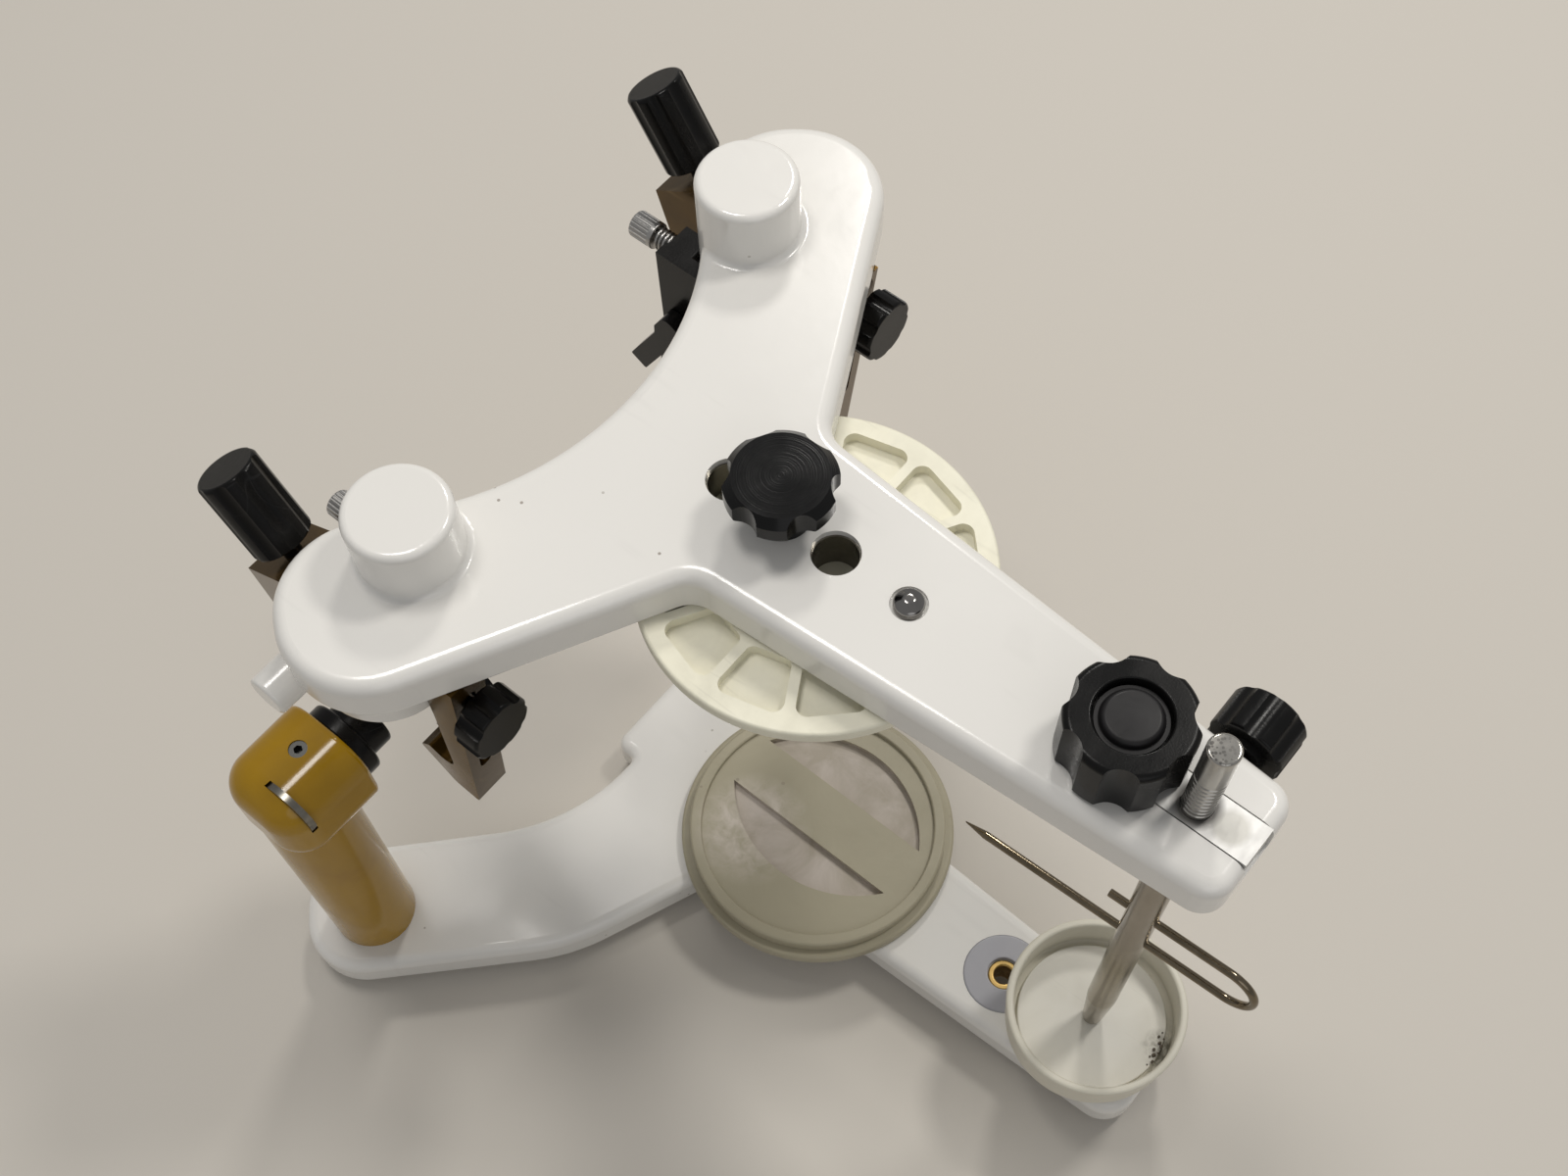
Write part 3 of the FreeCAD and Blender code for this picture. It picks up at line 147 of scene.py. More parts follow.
# specks: sparse small chips and dirt that lie in patches, as a mask
def makeSpecks():
    group, start, end = newGroup("specks", {"Vector": None, "Scale": 120.0, "Size": 0.06}, ["Mask"])
    cells = addNode(group, "ShaderNodeTexVoronoi", (-650, 100))
    patches = addNode(group, "ShaderNodeTexNoise", (-650, -200))
    setInputs(patches, {"Scale": 22})
    chosen = rampNode(group, (-400, -200), [(0.56, 0), (0.62, 1)])
    near = addNode(group, "ShaderNodeMath", (-400, 100), operation="LESS_THAN")
    both = addNode(group, "ShaderNodeMath", (0, 0), operation="MULTIPLY")
    join(group, start, "Vector", cells, "Vector")
    join(group, start, "Scale", cells, "Scale")
    join(group, start, "Vector", patches, "Vector")
    join(group, cells, "Distance", near, 0)
    join(group, start, "Size", near, 1)
    join(group, patches, "Fac", chosen, "Fac")
    join(group, near, "Value", both, 0)
    join(group, chosen, "Color", both, 1)
    join(group, both, "Value", end, "Mask")
    return group


# scratches: long thin marks in two odd directions, broken here and there, as a mask
def makeScratches():
    group, start, end = newGroup("scratches", {"Vector": None, "Scale": 30.0, "Share": 0.5}, ["Mask"])
    lines = []
    for row, tilt, turn in ((0, 0, 0.4), (-300, 0.3, 1.9)):
        spun = addNode(group, "ShaderNodeMapping", (-750, row))
        setInputs(spun, {"Rotation": (tilt, 0, turn), "Scale": (1, 0.06, 1)})   # drawn out along Y
        streak = addNode(group, "ShaderNodeTexNoise", (-550, row))
        setInputs(streak, {"Detail": 1, "Distortion": 0.3})
        thin = rampNode(group, (-330, row), [(0.492, 0), (0.5, 1), (0.508, 0)])
        join(group, start, "Vector", spun, "Vector")
        join(group, spun, "Vector", streak, "Vector")
        join(group, start, "Scale", streak, "Scale")
        join(group, streak, "Fac", thin, "Fac")
        lines.append(thin)
    most = addNode(group, "ShaderNodeMath", (0, 0), operation="MAXIMUM")
    broken = addNode(group, "ShaderNodeTexNoise", (-330, -600))
    setInputs(broken, {"Scale": 60})
    gaps = rampNode(group, (-100, -600), [(0.5, 0), (0.62, 1)])
    kept = addNode(group, "ShaderNodeMath", (200, 0), operation="MULTIPLY")
    faded = addNode(group, "ShaderNodeMath", (400, 0), operation="MULTIPLY")
    join(group, lines[0], "Color", most, 0)
    join(group, lines[1], "Color", most, 1)
    join(group, start, "Vector", broken, "Vector")
    join(group, broken, "Fac", gaps, "Fac")
    join(group, most, "Value", kept, 0)
    join(group, gaps, "Color", kept, 1)
    join(group, kept, "Value", faded, 0)
    join(group, start, "Share", faded, 1)
    join(group, faded, "Value", end, "Mask")
    return group


# rings: fine turning marks about the local Z axis, from the distance to it
def makeRings():
    group, start, end = newGroup("rings", {"Vector": None, "Scale": 2500.0, "Depth": 0.3},
                                 ["Height", "Tone"])
    parts = addNode(group, "ShaderNodeSeparateXYZ", (-750, 0))
    flat = addNode(group, "ShaderNodeCombineXYZ", (-580, 0))
    far = addNode(group, "ShaderNodeVectorMath", (-420, 0), operation="LENGTH")
    line = addNode(group, "ShaderNodeCombineXYZ", (-260, 0))
    marks = addNode(group, "ShaderNodeTexNoise", (-100, 0))
    setInputs(marks, {"Detail": 2})
    scaled = addNode(group, "ShaderNodeMath", (150, 0), operation="MULTIPLY")
    join(group, start, "Vector", parts, "Vector")
    join(group, parts, "X", flat, "X")
    join(group, parts, "Y", flat, "Y")
    join(group, flat, "Vector", far, 0)
    join(group, far, "Value", line, "X")
    join(group, line, "Vector", marks, "Vector")
    join(group, start, "Scale", marks, "Scale")
    join(group, marks, "Fac", scaled, 0)
    join(group, start, "Depth", scaled, 1)
    join(group, scaled, "Value", end, "Height")
    join(group, marks, "Fac", end, "Tone")
    return group


# band: a mask between two heights
def makeBand():
    group, start, end = newGroup("band", {"Vector": None, "Low": 0.0, "High": 1.0}, ["Mask"])
    parts = addNode(group, "ShaderNodeSeparateXYZ", (-650, 0))
    above = addNode(group, "ShaderNodeMath", (-350, 150), operation="GREATER_THAN")
    below = addNode(group, "ShaderNodeMath", (-350, -150), operation="LESS_THAN")
    both = addNode(group, "ShaderNodeMath", (0, 0), operation="MULTIPLY")
    join(group, start, "Vector", parts, "Vector")
    join(group, parts, "Z", above, 0)
    join(group, start, "Low", above, 1)
    join(group, parts, "Z", below, 0)
    join(group, start, "High", below, 1)
    join(group, above, "Value", both, 0)
    join(group, below, "Value", both, 1)
    join(group, both, "Value", end, "Mask")
    return group


# spot: a round mask about a point, full within its reach and fading over a soft edge
def makeSpot():
    group, start, end = newGroup("spot", {"Vector": None, "Centre": None, "Reach": 0.01, "Soft": 0.01},
                                 ["Mask"])
    far = addNode(group, "ShaderNodeVectorMath", (-650, 0), operation="DISTANCE")
    edge = addNode(group, "ShaderNodeMath", (-450, -200), operation="ADD")
    fade = addNode(group, "ShaderNodeMapRange", (-150, 0))
    setInputs(fade, {"To Min": 1, "To Max": 0})
    join(group, start, "Vector", far, 0)
    join(group, start, "Centre", far, 1)
    join(group, start, "Reach", edge, 0)
    join(group, start, "Soft", edge, 1)
    join(group, far, "Value", fade, "Value")
    join(group, start, "Reach", fade, "From Min")
    join(group, edge, "Value", fade, "From Max")
    join(group, fade, "Result", end, "Mask")
    return group


groups = {
    "smudges": makeSmudges(),
    "grain": makeGrain(),
    "specks": makeSpecks(),
    "scratches": makeScratches(),
    "rings": makeRings(),
    "band": makeBand(),
    "spot": makeSpot(),
}
print("shader groups done")


# a material from its dictionary: the shader's fixed levels, the base colour, and wipes that vary the gloss
class Finish:
    def __init__(self, name, look, centre=(0, 0, 0)):
        self.material = bpy.data.materials.new(name)
        self.material.use_nodes = True
        self.tree = self.material.node_tree
        self.shader = self.tree.nodes["Principled BSDF"]
        setInputs(self.shader, look.get("shader", {}))
        coords = addNode(self.tree, "ShaderNodeTexCoord", (-1500, 0))
        self.position = addNode(self.tree, "ShaderNodeMapping", (-1300, 0), vector_type="TEXTURE")
        setInputs(self.position, {"Location": centre})
        join(self.tree, coords, "Object", self.position, "Vector")
        self.base = (*look["base"], 1)
        self.coats = []
        self.effects = 0
        self.wipes = self.effect("smudges", look["wipes"])
        self.tree.links.new(self.wipes["Level"], self.shader.inputs["Roughness"])
        if "wiped" in look:
            self.lay(self.wipes["Cloud"], look["wiped"])

    # place a shared group and give back its outputs
    def effect(self, name, levels):
        made = addNode(self.tree, "ShaderNodeGroup", (-1000, -300 * self.effects))
        made.node_tree = groups[name]
        join(self.tree, self.position, "Vector", made, "Vector")
        setInputs(made, levels)
        self.effects += 1
        return made.outputs

    # lay a tint over the colours so far, where the mask is bright
    def lay(self, mask, coat):
        across = -600 + 200 * len(self.coats)
        mix = addNode(self.tree, "ShaderNodeMix", (across, 300), data_type="RGBA")
        amount = addNode(self.tree, "ShaderNodeMath", (across, 500), operation="MULTIPLY")
        setInputs(mix, {"A": self.base, "B": (*coat["tint"], 1)})
        setInputs(amount, {1: coat["share"]})
        self.tree.links.new(mask, amount.inputs[0])
        join(self.tree, amount, "Value", mix, "Factor")
        if self.coats:
            join(self.tree, self.coats[-1], "Result", mix, "A")
        join(self.tree, mix, "Result", self.shader, "Base Color")
        self.coats.append(mix)

    # product of two masks
    def times(self, first, second):
        product = addNode(self.tree, "ShaderNodeMath", (-750, 700), operation="MULTIPLY")
        self.tree.links.new(first, product.inputs[0])
        self.tree.links.new(second, product.inputs[1])
        return product.outputs["Value"]

    def bump(self, height, relief):
        raised = addNode(self.tree, "ShaderNodeBump", (-300, -400))
        setInputs(raised, relief)
        self.tree.links.new(height, raised.inputs["Height"])
        join(self.tree, raised, "Normal", self.shader, "Normal")


def bothSides(*parts):
    return [part + side for part in parts for side in ("_left", "_right")]


def dress(finish, *names):
    for name in names:
        slots = nodes[name].data.materials
        slots.clear()
        slots.append(finish.material)


# in every dictionary of looks: colours are linear, a share is how much of its tint a coat lays on,
# Low and High are the roughness of clean and wiped places, and lengths are in metres
whitePaint = {
    "base": (0.80, 0.785, 0.75),
    "shader": {"Coat Weight": 0.35, "Coat Roughness": 0.08},
    "wipes": {"Scale": 26, "Low": 0.14, "High": 0.26},
    "wiped": {"share": 0.3, "tint": (0.74, 0.725, 0.69)},
    "scratches": {"Scale": 24, "Share": 0.5},
    "scratched": {"share": 0.14, "tint": (0.50, 0.49, 0.47)},
    "chips": {"Scale": 150, "Size": 0.055},
    "chipped": {"share": 0.7, "tint": (0.20, 0.16, 0.12)},
    "orangePeel": {"Scale": 260, "Depth": 0.6},
    "relief": {"Strength": 0.08, "Distance": 0.0004},
}


def whiteCasting():
    look = whitePaint
    paint = Finish("whiteCasting", look)
    paint.lay(paint.effect("scratches", look["scratches"])["Mask"], look["scratched"])
    paint.lay(paint.effect("specks", look["chips"])["Mask"], look["chipped"])
    paint.bump(paint.effect("grain", look["orangePeel"])["Height"], look["relief"])
    dress(paint, "upper_frame", "lower_frame", "condylar_housing_left", "condylar_housing_right")


goldenPaint = {
    "base": (0.40, 0.225, 0.004),
    "shader": {"Coat Weight": 0.1, "Coat Roughness": 0.05, "Specular IOR Level": 0.4},
    "wipes": {"Scale": 34, "Low": 0.09, "High": 0.20},
    "wiped": {"share": 0.6, "tint": (0.29, 0.152, 0.003)},
    "chips": {"Scale": 170, "Size": 0.06},
    "chipped": {"share": 0.7, "tint": (0.12, 0.07, 0.02)},
}


def goldenCasting():
    look = goldenPaint
    paint = Finish("goldenCasting", look)
    paint.lay(paint.effect("specks", look["chips"])["Mask"], look["chipped"])
    dress(paint, "post_left", "post_right", "post_head_left", "post_head_right")


bronzeSkin = {
    "base": (0.105, 0.058, 0.011),
    "shader": {"Metallic": 0.7, "Specular IOR Level": 0.2},
    "wipes": {"Scale": 60, "Low": 0.12, "High": 0.24},
    "wiped": {"share": 0.6, "tint": (0.055, 0.030, 0.006)},
    "scratches": {"Scale": 60, "Share": 0.8},
    "scratched": {"share": 0.3, "tint": (0.34, 0.24, 0.11)},
    "grain": {"Scale": 1500, "Depth": 0.5},
    "relief": {"Strength": 0.04, "Distance": 0.0002},
}
blackSkin = {
    "base": (0.004, 0.004, 0.004),
    "shader": {"Specular IOR Level": 0.17},
    "wipes": {"Scale": 50, "Low": 0.17, "High": 0.30},
    "wiped": {"share": 0.6, "tint": (0.007, 0.006, 0.005)},
    "scratches": {"Scale": 60, "Share": 0.6},
    "scratched": {"share": 0.25, "tint": (0.07, 0.07, 0.07)},
    "grain": {"Scale": 1800, "Depth": 0.5},
    "relief": {"Strength": 0.15, "Distance": 0.0002},
}


# anodised aluminium: a fine blasted grain with bright scratches through the skin
def anodised(name, look):
    skin = Finish(name, look)
    skin.lay(skin.effect("scratches", look["scratches"])["Mask"], look["scratched"])
    skin.bump(skin.effect("grain", look["grain"])["Height"], look["relief"])
    return skin


def bronzeAnodised():
    dress(anodised("bronzeAnodised", bronzeSkin), *bothSides("condylar_bracket", "rear_block"))


def blackAnodised():
    parts = bothSides("track_cheek", "track_block", "axle_collar", "centric_latch", "lock_knob", "rear_knob")
    dress(anodised("blackAnodised", blackSkin), "lower_plate_knob", *parts)


spunTop = {
    "base": (0.005, 0.005, 0.005),
    "shader": {"Specular IOR Level": 0.2},
    "wipes": {"Scale": 70, "Low": 0.17, "High": 0.27},
    "rings": {"Scale": 2600, "Depth": 0.4},
    "ringed": {"share": 0.3, "tint": (0.012, 0.012, 0.013)},
    "relief": {"Strength": 0.5, "Distance": 0.0002},
}


# black turned top of the centre knob, with its ring marks about its own axis
def spunBlack():
    look = spunTop
    spun = Finish("spunBlack", look, centre=middleOf("upper_plate_knob"))
    rings = spun.effect("rings", look["rings"])
    spun.lay(rings["Tone"], look["ringed"])
    spun.bump(rings["Height"], look["relief"])
    dress(spun, "upper_plate_knob")


mouldedBlack = {
    "base": (0.005, 0.005, 0.005),
    "shader": {"Specular IOR Level": 0.18},
    "wipes": {"Scale": 55, "Low": 0.22, "High": 0.36},
    "wiped": {"share": 0.5, "tint": (0.009, 0.008, 0.007)},
    "grain": {"Scale": 2200, "Depth": 0.6},
    "relief": {"Strength": 0.2, "Distance": 0.0002},
}
insertBlack = {
    "base": (0.011, 0.0105, 0.011),
    "shader": {"Specular IOR Level": 0.22},
    "wipes": {"Scale": 140, "Low": 0.34, "High": 0.52},
    "wiped": {"share": 0.6, "tint": (0.020, 0.019, 0.020)},
}


def knobPlastic():
    look = mouldedBlack
    plastic = Finish("knobPlastic", look)
    plastic.bump(plastic.effect("grain", look["grain"])["Height"], look["relief"])
    dress(plastic, "carriage_knob", "pin_clamp_knob")
    dress(Finish("knobInsert", insertBlack), "carriage_knob_insert")


pinMetal = {
    "base": (0.44, 0.425, 0.395),
    "shader": {"Metallic": 0.9},
    "wipes": {"Scale": 70, "Low": 0.12, "High": 0.26},
    "wiped": {"share": 0.5, "tint": (0.29, 0.27, 0.24)},
    "scratches": {"Scale": 120, "Share": 0.7},
    "scratched": {"share": 0.5, "tint": (0.22, 0.20, 0.18)},
    "lowShadeTop": 0.155,         # height up to which the pin gets painted shade and a painted warm reflection
    # painted shade with a painted warm floor reflection on the pin's lower part
    "lowShaded": {"share": 0.7, "tint": (0.26, 0.215, 0.15)},
    "faceDepth": 0.0002,         # how far down from its top the facing marks reach
    "facing": {"Scale": 1300, "Size": 0.42},     # small marks left by facing its end
    "faced": {"share": 0.75, "tint": (0.08, 0.075, 0.07)},
}


# the worn incisal pin, with painted shade and a painted warm reflection below the carriage, and marked on
# its top
def pinSteel():
    look = pinMetal
    pin = Finish("pinSteel", look)
    pinTop = topOf("incisal_pin")
    lowShade = pin.effect("band", {"Low": 0, "High": look["lowShadeTop"]})
    face = pin.effect("band", {"Low": pinTop - look["faceDepth"], "High": pinTop + mm})
    facing = pin.effect("specks", look["facing"])
    pin.lay(pin.effect("scratches", look["scratches"])["Mask"], look["scratched"])
    # lay painted shade and a painted warm reflection over the pin's lower part
    pin.lay(lowShade["Mask"], look["lowShaded"])
    pin.lay(pin.times(face["Mask"], facing["Mask"]), look["faced"])
    dress(pin, "incisal_pin")


# the other bare steels: fresh and worn colours, and roughness where clean and where tarnished
steels = {
    # the pointer wire's dark brown colours are a painted reflection of a wooden floor, darker than its steel
    "drawnWire": {"fresh": (0.23, 0.19, 0.135), "worn": (0.10, 0.08, 0.05), "rough": (0.09, 0.20),
                  "nodes": ["pointer_wire"]},
    "darkSteel": {"fresh": (0.24, 0.225, 0.19), "worn": (0.15, 0.135, 0.11), "rough": (0.22, 0.38),
                  "nodes": ["register_bushes", "post_bolts", "table_bolt"]},
    "blackSteel": {"fresh": (0.13, 0.13, 0.125), "worn": (0.07, 0.07, 0.065), "rough": (0.2, 0.34),
                   "nodes": ["head_grub_screws"]},
    "knurledSteel": {"fresh": (0.34, 0.32, 0.28), "worn": (0.03, 0.03, 0.025), "rough": (0.25, 0.4),
                     "nodes": ["slit_wheels"]},
    # the dome's dark colours are a painted reflection of a dark room, darker than bright steel
    "brightSteel": {"fresh": (0.30, 0.29, 0.28), "worn": (0.20, 0.19, 0.18), "rough": (0.09, 0.18),
                    "nodes": ["dome_screw"]},
    "turnedSteel": {"fresh": (0.50, 0.49, 0.475), "worn": (0.36, 0.35, 0.335), "rough": (0.24, 0.38),
                    "nodes": bothSides("axle", "condyle_ball", "stop_screw", "stop_spring")},
}
steelMarks = {
    "tarnishScale": 120,
    "tarnishShare": 0.6,
    "scratches": {"Scale": 150, "Share": 0.7},
    "scratched": {"share": 0.4, "tint": (0.16, 0.15, 0.14)},
}


def bareSteels():
    for name, metal in steels.items():
        low, high = metal["rough"]
        steel = Finish(name, {
            "base": metal["fresh"],
            "shader": {"Metallic": 1.0},
            "wipes": {"Scale": steelMarks["tarnishScale"], "Low": low, "High": high},
            "wiped": {"share": steelMarks["tarnishShare"], "tint": metal["worn"]},
        })
        steel.lay(steel.effect("scratches", steelMarks["scratches"])["Mask"], steelMarks["scratched"])
        dress(steel, *metal["nodes"])


slideMetal = {
    "base": (0.60, 0.595, 0.58),
    "shader": {"Metallic": 0.5},
    "wipes": {"Scale": 90, "Low": 0.34, "High": 0.55},
    "wiped": {"share": 0.5, "tint": (0.48, 0.475, 0.46)},
    "pits": {"Scale": 620, "Size": 0.34},
    "pitted": {"share": 0.4, "tint": (0.30, 0.29, 0.27)},
    "patchAhead": 0.0078,        # middle of the corroded patch, ahead of the pin's axis
    "patch": {"Reach": 0.0030, "Soft": 0.0014},
    "corroded": {"share": 0.6, "tint": (0.33, 0.32, 0.285)},
    "patchPits": {"share": 0.9, "tint": (0.10, 0.09, 0.075)},
    # the dark ring round the pin's foot is painted shade where the pin enters the slide
    "footShadeSoft": 0.0018,
    "grimyAndShaded": {"share": 0.9, "tint": (0.05, 0.045, 0.04)},
    "relief": {"Strength": 0.3, "Distance": -0.0002},            # the pits are sunk
}


# cast aluminium slide, pitted ahead of the pin, with painted shade in a dark ring round the pin's foot
def pittedAluminium():
    look = slideMetal
    bar = Finish("pittedAluminium", look)
    pin = middleOf("incisal_pin")
    top = topOf("pin_carriage")
    pits = bar.effect("specks", look["pits"])
    patch = bar.effect("spot", {"Centre": (pin.x, pin.y - look["patchAhead"], top), **look["patch"]})
    # painted shade: a dark ring round the pin's foot
    grimeAndShade = bar.effect("spot", {"Centre": (pin.x, pin.y, top), "Reach": radiusOf("incisal_pin"),
                                "Soft": look["footShadeSoft"]})
    bar.lay(pits["Mask"], look["pitted"])
    bar.lay(patch["Mask"], look["corroded"])
    bar.lay(bar.times(patch["Mask"], pits["Mask"]), look["patchPits"])
    bar.lay(grimeAndShade["Mask"], look["grimyAndShaded"])
    bar.bump(pits["Mask"], look["relief"])
    dress(bar, "pin_carriage")


cleanPlate = {
    "base": (0.84, 0.815, 0.67),
    "wipes": {"Scale": 40, "Low": 0.36, "High": 0.5},
    "wiped": {"share": 0.5, "tint": (0.76, 0.73, 0.58)},
    "floors": (0.0008, 0.0030),  # heights of the pockets' floors, from the underside
    "shaded": {"share": 0.55, "tint": (0.60, 0.59, 0.47)},
    "grimeAndShade": {"Scale": 95},
    "grimyAndShaded": {"share": 0.5, "tint": (0.58, 0.56, 0.46)},
    "scratches": {"Scale": 45, "Share": 0.6},
    "scratched": {"share": 0.3, "tint": (0.40, 0.38, 0.31)},
    "chips": {"Scale": 160, "Size": 0.09},
    "chipped": {"share": 0.6, "tint": (0.22, 0.19, 0.14)},
}


# the upper mounting plate, clean apart from its pockets
def plateCream():
    look = cleanPlate
    clean = Finish("plateCream", look)
    under = underOf("upper_mounting_plate")
    low, high = look["floors"]
    floors = clean.effect("band", {"Low": under + low, "High": under + high})
    grimeAndShade = clean.effect("smudges", look["grimeAndShade"])
    clean.lay(floors["Mask"], look["shaded"])
    clean.lay(clean.times(grimeAndShade["Cloud"], clean.wipes["Cloud"]), look["grimyAndShaded"])
    clean.lay(clean.effect("scratches", look["scratches"])["Mask"], look["scratched"])
    clean.lay(clean.effect("specks", look["chips"])["Mask"], look["chipped"])
    dress(clean, "upper_mounting_plate")


usedShadedPlate = {
    # base: the plate's dirty cream, darkened further by painted shade of the upper frame
    "base": (0.39, 0.355, 0.255),
    "wipes": {"Scale": 34, "Low": 0.38, "High": 0.55},
    "wiped": {"share": 0.5, "tint": (0.33, 0.30, 0.21)},
    "rim": 0.0014,               # the rim stands this far above the face
    "slots": (0.0028, 0.0006),   # how far below the face the slots' floors lie
    "face": {"Reach": 0.0325, "Soft": 0.0005},   # what lies within the rim
    "smearFrom": (-0.013, 0.014),    # from the plate's middle, to the right and to the rear
    "smear": {"Reach": 0.008, "Soft": 0.010},
    "plaster": {"Scale": 75},
    "smeared": {"share": 0.7, "tint": (0.50, 0.45, 0.37)},
    "crust": {"Scale": 190},
    "crusted": {"share": 0.9, "tint": (0.62, 0.56, 0.49)},
    "sunk": {"share": 0.8, "tint": (0.40, 0.35, 0.29)},
    "filled": {"share": 0.85, "tint": (0.58, 0.52, 0.47)},
    "specks": {"Scale": 150, "Size": 0.08},
    "specked": {"share": 0.5, "tint": (0.2, 0.17, 0.13)},
    "relief": {"Strength": 0.12, "Distance": 0.0003},
}


# the lower mounting plate, dull and darkened partly by dirt and partly by painted shade of the upper frame,
# with plaster smeared on its face and left in its slots
def plateUsedShaded():
    look = usedShadedPlate
    usedShaded = Finish("plateUsedShaded", look)
    middle = middleOf("lower_mounting_plate")
    face = topOf("lower_mounting_plate") - look["rim"]
    deep, shallow = look["slots"]
    right, back = look["smearFrom"]
    plaster = usedShaded.effect("smudges", look["plaster"])
    crust = usedShaded.effect("smudges", look["crust"])
    sunk = usedShaded.effect("band", {"Low": face - deep, "High": face - shallow})
    inside = usedShaded.effect("spot", {"Centre": (middle.x, middle.y, face), **look["face"]})
    smear = usedShaded.effect("spot", {"Centre": (middle.x + right, middle.y + back, face), **look["smear"]})
    floors = usedShaded.times(sunk["Mask"], inside["Mask"])
    usedShaded.lay(usedShaded.times(smear["Mask"], plaster["Cloud"]), look["smeared"])
    usedShaded.lay(usedShaded.times(smear["Mask"], crust["Cloud"]), look["crusted"])
    usedShaded.lay(floors, look["sunk"])
    usedShaded.lay(usedShaded.times(floors, plaster["Cloud"]), look["filled"])
    usedShaded.lay(usedShaded.effect("specks", look["specks"])["Mask"], look["specked"])
    usedShaded.bump(plaster["Cloud"], look["relief"])
    dress(usedShaded, "lower_mounting_plate")


cupStain = {"angle": -77, "rise": 0.001}     # where dirt has gathered against the cup's wall
cupCream = {
    "base": (0.68, 0.65, 0.55),
    "wipes": {"Scale": 36, "Low": 0.36, "High": 0.52},
    "wiped": {"share": 0.5, "tint": (0.61, 0.58, 0.48)},
    "chips": {"Scale": 130, "Size": 0.07},
    "chipped": {"share": 0.6, "tint": (0.25, 0.22, 0.17)},
    "dirt": {"Scale": 420},
    "stain": {"Reach": 0.003, "Soft": 0.005},
    "stained": {"share": 0.9, "tint": (0.10, 0.09, 0.06)},
}
linerCream = {
    "base": (0.78, 0.76, 0.69),
    "wipes": {"Scale": 60, "Low": 0.5, "High": 0.7},
    "wiped": {"share": 0.4, "tint": (0.70, 0.675, 0.60)},
    "scratches": {"Scale": 60, "Share": 0.6},
    "scratched": {"share": 0.35, "tint": (0.50, 0.48, 0.44)},
    "dirt": {"Scale": 420},
    "stain": {"Reach": 0.0025, "Soft": 0.0035},
    "stained": {"share": 0.9, "tint": (0.17, 0.155, 0.12)},
}
discGrey = {
    "base": (0.40, 0.40, 0.43),
    "wipes": {"Scale": 70, "Low": 0.25, "High": 0.4},
    "wiped": {"share": 0.5, "tint": (0.33, 0.33, 0.37)},
}


# dirt gathered on the cup or its liner
def layStain(finish, look):
    dirt = finish.effect("smudges", look["dirt"])
    place = cupPoint(cupStain["angle"], radiusOf("table_liner"), topOf("table_liner") + cupStain["rise"])
    spot = finish.effect("spot", {"Centre": place, **look["stain"]})
    finish.lay(finish.times(spot["Mask"], dirt["Cloud"]), look["stained"])


def tablePlastic():
    cup = Finish("cupPlastic", cupCream)
    cup.lay(cup.effect("specks", cupCream["chips"])["Mask"], cupCream["chipped"])
    layStain(cup, cupCream)
    dress(cup, "incisal_table")
    liner = Finish("cupLiner", linerCream)
    liner.lay(liner.effect("scratches", linerCream["scratches"])["Mask"], linerCream["scratched"])
    layStain(liner, linerCream)
    dress(liner, "table_liner")
    dress(Finish("coverPlastic", discGrey), "cover_disc")


brassSkin = {
    "base": (0.55, 0.38, 0.14),
    "shader": {"Metallic": 1.0},
    "wipes": {"Scale": 120, "Low": 0.25, "High": 0.45},
    "wiped": {"share": 0.6, "tint": (0.36, 0.24, 0.09)},
}
rubberBlack = {
    "base": (0.02, 0.02, 0.02),
    "wipes": {"Scale": 90, "Low": 0.6, "High": 0.8},
    "wiped": {"share": 0.6, "tint": (0.06, 0.055, 0.05)},
}


def brassAndRubber():
    dress(Finish("brass", brassSkin), "brass_bush")
    dress(Finish("rubber", rubberBlack), "rubber_feet")


for make in (whiteCasting, goldenCasting, bronzeAnodised, blackAnodised, spunBlack, knobPlastic, pinSteel,
             bareSteels, pittedAluminium, plateCream, plateUsedShaded, tablePlastic, brassAndRubber):
    make()
print("finishes done")


# dark crumbs caught against the cup's wall, each a rough lump of its own size
crumbSizes = {
    "radius": 0.00042,
    "wallGap": 0.0009,           # from the liner's edge to the outer row
    "rowStep": 0.0007,           # from one row to the next, inwards
    "rows": 3,
    "climbOut": 0.0006,          # crumbs up the wall lie this far outside the outer row
    "ragged": 0.45,              # how far a lump's points stray, in radii
    "middle": 0.5,               # height of a lump's middle above the liner, in radii
    "flatten": (1.0, 0.8, 0.6),
    "angles": (-65, -69, -71, -74, -76, -77, -79, -81, -83, -85, -88, -91, -95),
    "scales": (0.6, 1.0, 0.8, 1.3, 0.6, 1.5, 0.9, 1.2, 0.7, 1.4, 0.8, 1.2, 0.6),
    "rises": (0, 0, 1.3, 0, 0.4, 0.8, 2.0, 0, 1.0, 0, 0, 0.5, 0),   # mm up the wall
}
crumbDirt = {
    "base": (0.07, 0.055, 0.04),
    "wipes": {"Scale": 900, "Low": 0.7, "High": 0.9},
    "wiped": {"share": 0.8, "tint": (0.18, 0.15, 0.11)},
}


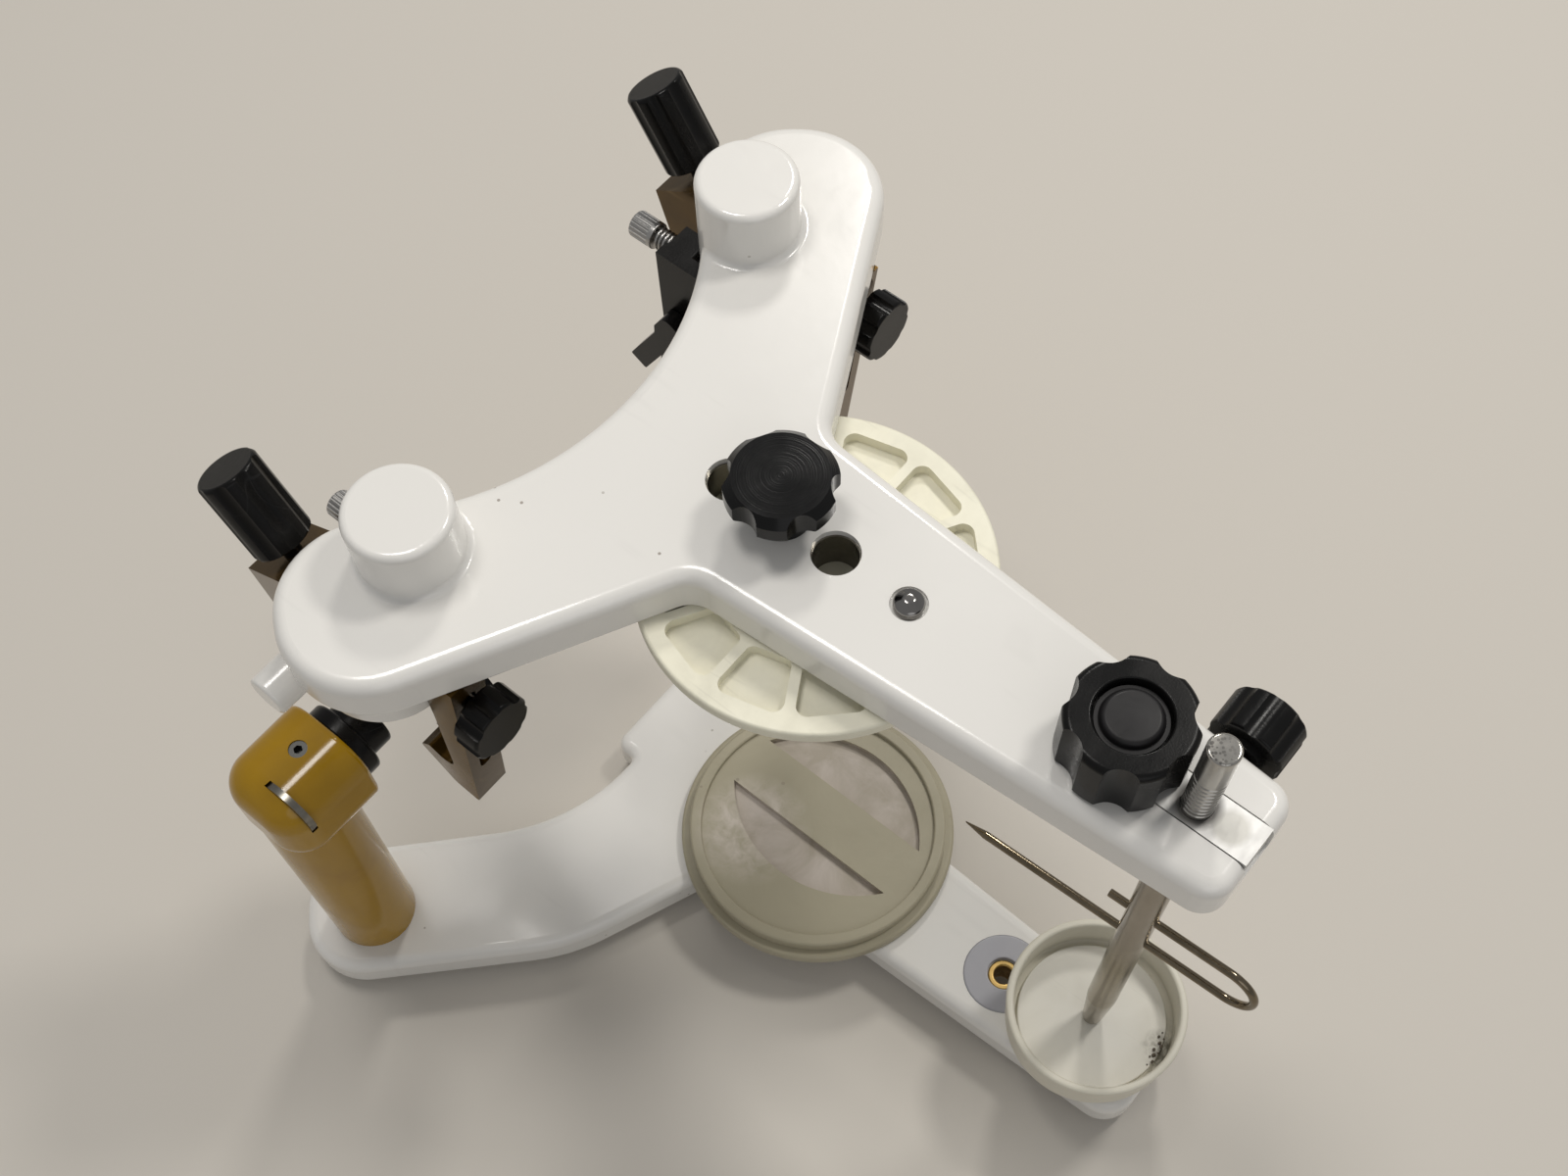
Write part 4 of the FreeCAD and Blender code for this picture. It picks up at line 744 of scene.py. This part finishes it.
def cupCrumbs():
    outerRow = radiusOf("table_liner") - crumbSizes["wallGap"]
    lumps = []
    for i, angle in enumerate(crumbSizes["angles"]):
        rise = crumbSizes["rises"][i]
        size = crumbSizes["radius"] * crumbSizes["scales"][i]
        out = outerRow - crumbSizes["rowStep"] * (i % crumbSizes["rows"])
        if rise:
            out = outerRow + crumbSizes["climbOut"]
        height = topOf("table_liner") + crumbSizes["middle"] * size + rise * mm
        bpy.ops.object.select_all(action="DESELECT")
        bpy.ops.mesh.primitive_ico_sphere_add(subdivisions=2, radius=size,
                                              location=cupPoint(angle, out, height))
        lump = bpy.context.object
        bpy.ops.object.mode_set(mode="EDIT")
        bpy.ops.mesh.select_all(action="SELECT")
        bpy.ops.transform.vertex_random(offset=crumbSizes["ragged"] * size, seed=i + 1)
        bpy.ops.transform.resize(value=crumbSizes["flatten"])
        bpy.ops.object.mode_set(mode="OBJECT")
        lumps.append(lump)
    bpy.ops.object.select_all(action="DESELECT")
    for lump in lumps:
        lump.select_set(True)
    bpy.context.view_layer.objects.active = lumps[0]
    bpy.ops.object.join()
    bpy.ops.object.transform_apply(location=True, rotation=True, scale=True)
    crumbs = bpy.context.object
    crumbs.name = "cupCrumbs"
    bpy.ops.object.shade_smooth()
    crumbs.data.materials.append(Finish("cupDirt", crumbDirt).material)
    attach(crumbs, "lower")


cupCrumbs()
print("crumbs done")


floorPaper = {
    "side": 3.0,
    "drop": 0.0005,              # how far below the feet it lies
    "shader": {"Base Color": (0.63, 0.595, 0.54, 1), "Roughness": 0.9, "Specular IOR Level": 0.1},
}


def buildStage():
    bpy.ops.object.select_all(action="DESELECT")
    bpy.ops.mesh.primitive_plane_add(size=floorPaper["side"], location=(0, 0, -floorPaper["drop"]))
    floor = bpy.context.object
    floor.name = "floor"
    material = bpy.data.materials.new("floorPaper")
    material.use_nodes = True
    setInputs(material.node_tree.nodes["Principled BSDF"], floorPaper["shader"])
    floor.data.materials.append(material)


lamps = {
    "key": {"place": (0.62, -0.20, 1.15), "size": 0.20, "power": 3.8, "colour": (1.0, 0.97, 0.92)},
    "side": {"place": (0.83, 0.47, 1.15), "size": 0.20, "power": 4.0, "colour": (1.0, 0.97, 0.92)},
    "top": {"place": (0.02, 0.36, 1.40), "size": 0.35, "power": 4.6, "colour": (1.0, 0.97, 0.93)},
    "front": {"place": (-0.60, -0.80, 0.70), "size": 0.8, "power": 0.9, "colour": (0.98, 0.98, 1.0)},
}
lampTarget = (0, 0, 0.1)
worldLight = {"Color": (1, 1, 1, 1), "Strength": 0.32}


def buildLight():
    for name, lamp in lamps.items():
        data = bpy.data.lights.new(name, "AREA")
        data.shape = "DISK"
        data.size = lamp["size"]
        data.energy = lamp["power"]
        data.color = lamp["colour"]
        holder = bpy.data.objects.new(name, data)
        bpy.context.scene.collection.objects.link(holder)
        holder.location = lamp["place"]
        aim = Vector(lampTarget) - Vector(lamp["place"])
        holder.rotation_euler = aim.to_track_quat("-Z", "Y").to_euler()
    world = bpy.data.worlds.new("studio")
    world.use_nodes = True
    setInputs(world.node_tree.nodes["Background"], worldLight)
    bpy.context.scene.world = world
    bpy.context.scene.view_settings.view_transform = "Standard"


cameraSizes = {
    "place": (-0.14815, -0.113075, 0.50054),
    "turn": -47.974,             # degrees about the vertical, from facing the rear
    "dip": 65.226,               # degrees below level
    "roll": -2.788,
    "lens": 40.643,
    "filmWidth": 36,
    "shift": 150 / 1600,         # of the frame's width, upwards
    "nearest": 0.01,
}


def buildCamera():
    turn, dip, roll = (math.radians(cameraSizes[key]) for key in ("turn", "dip", "roll"))
    back = Vector((math.sin(turn) * math.cos(dip), -math.cos(turn) * math.cos(dip), math.sin(dip)))
    right = Vector((math.cos(turn), math.sin(turn), 0))
    up = back.cross(right)
    across = math.cos(roll) * right + math.sin(roll) * up
    above = math.cos(roll) * up - math.sin(roll) * right
    data = bpy.data.cameras.new("camera")
    data.lens = cameraSizes["lens"]
    data.sensor_width = cameraSizes["filmWidth"]
    data.shift_y = cameraSizes["shift"]
    data.clip_start = cameraSizes["nearest"]
    holder = bpy.data.objects.new("camera", data)
    bpy.context.scene.collection.objects.link(holder)
    holder.matrix_world = Matrix((
        (across.x, above.x, back.x, cameraSizes["place"][0]),
        (across.y, above.y, back.y, cameraSizes["place"][1]),
        (across.z, above.z, back.z, cameraSizes["place"][2]),
        (0, 0, 0, 1)))
    bpy.context.scene.camera = holder


buildStage()
buildLight()
buildCamera()
print("stage done")
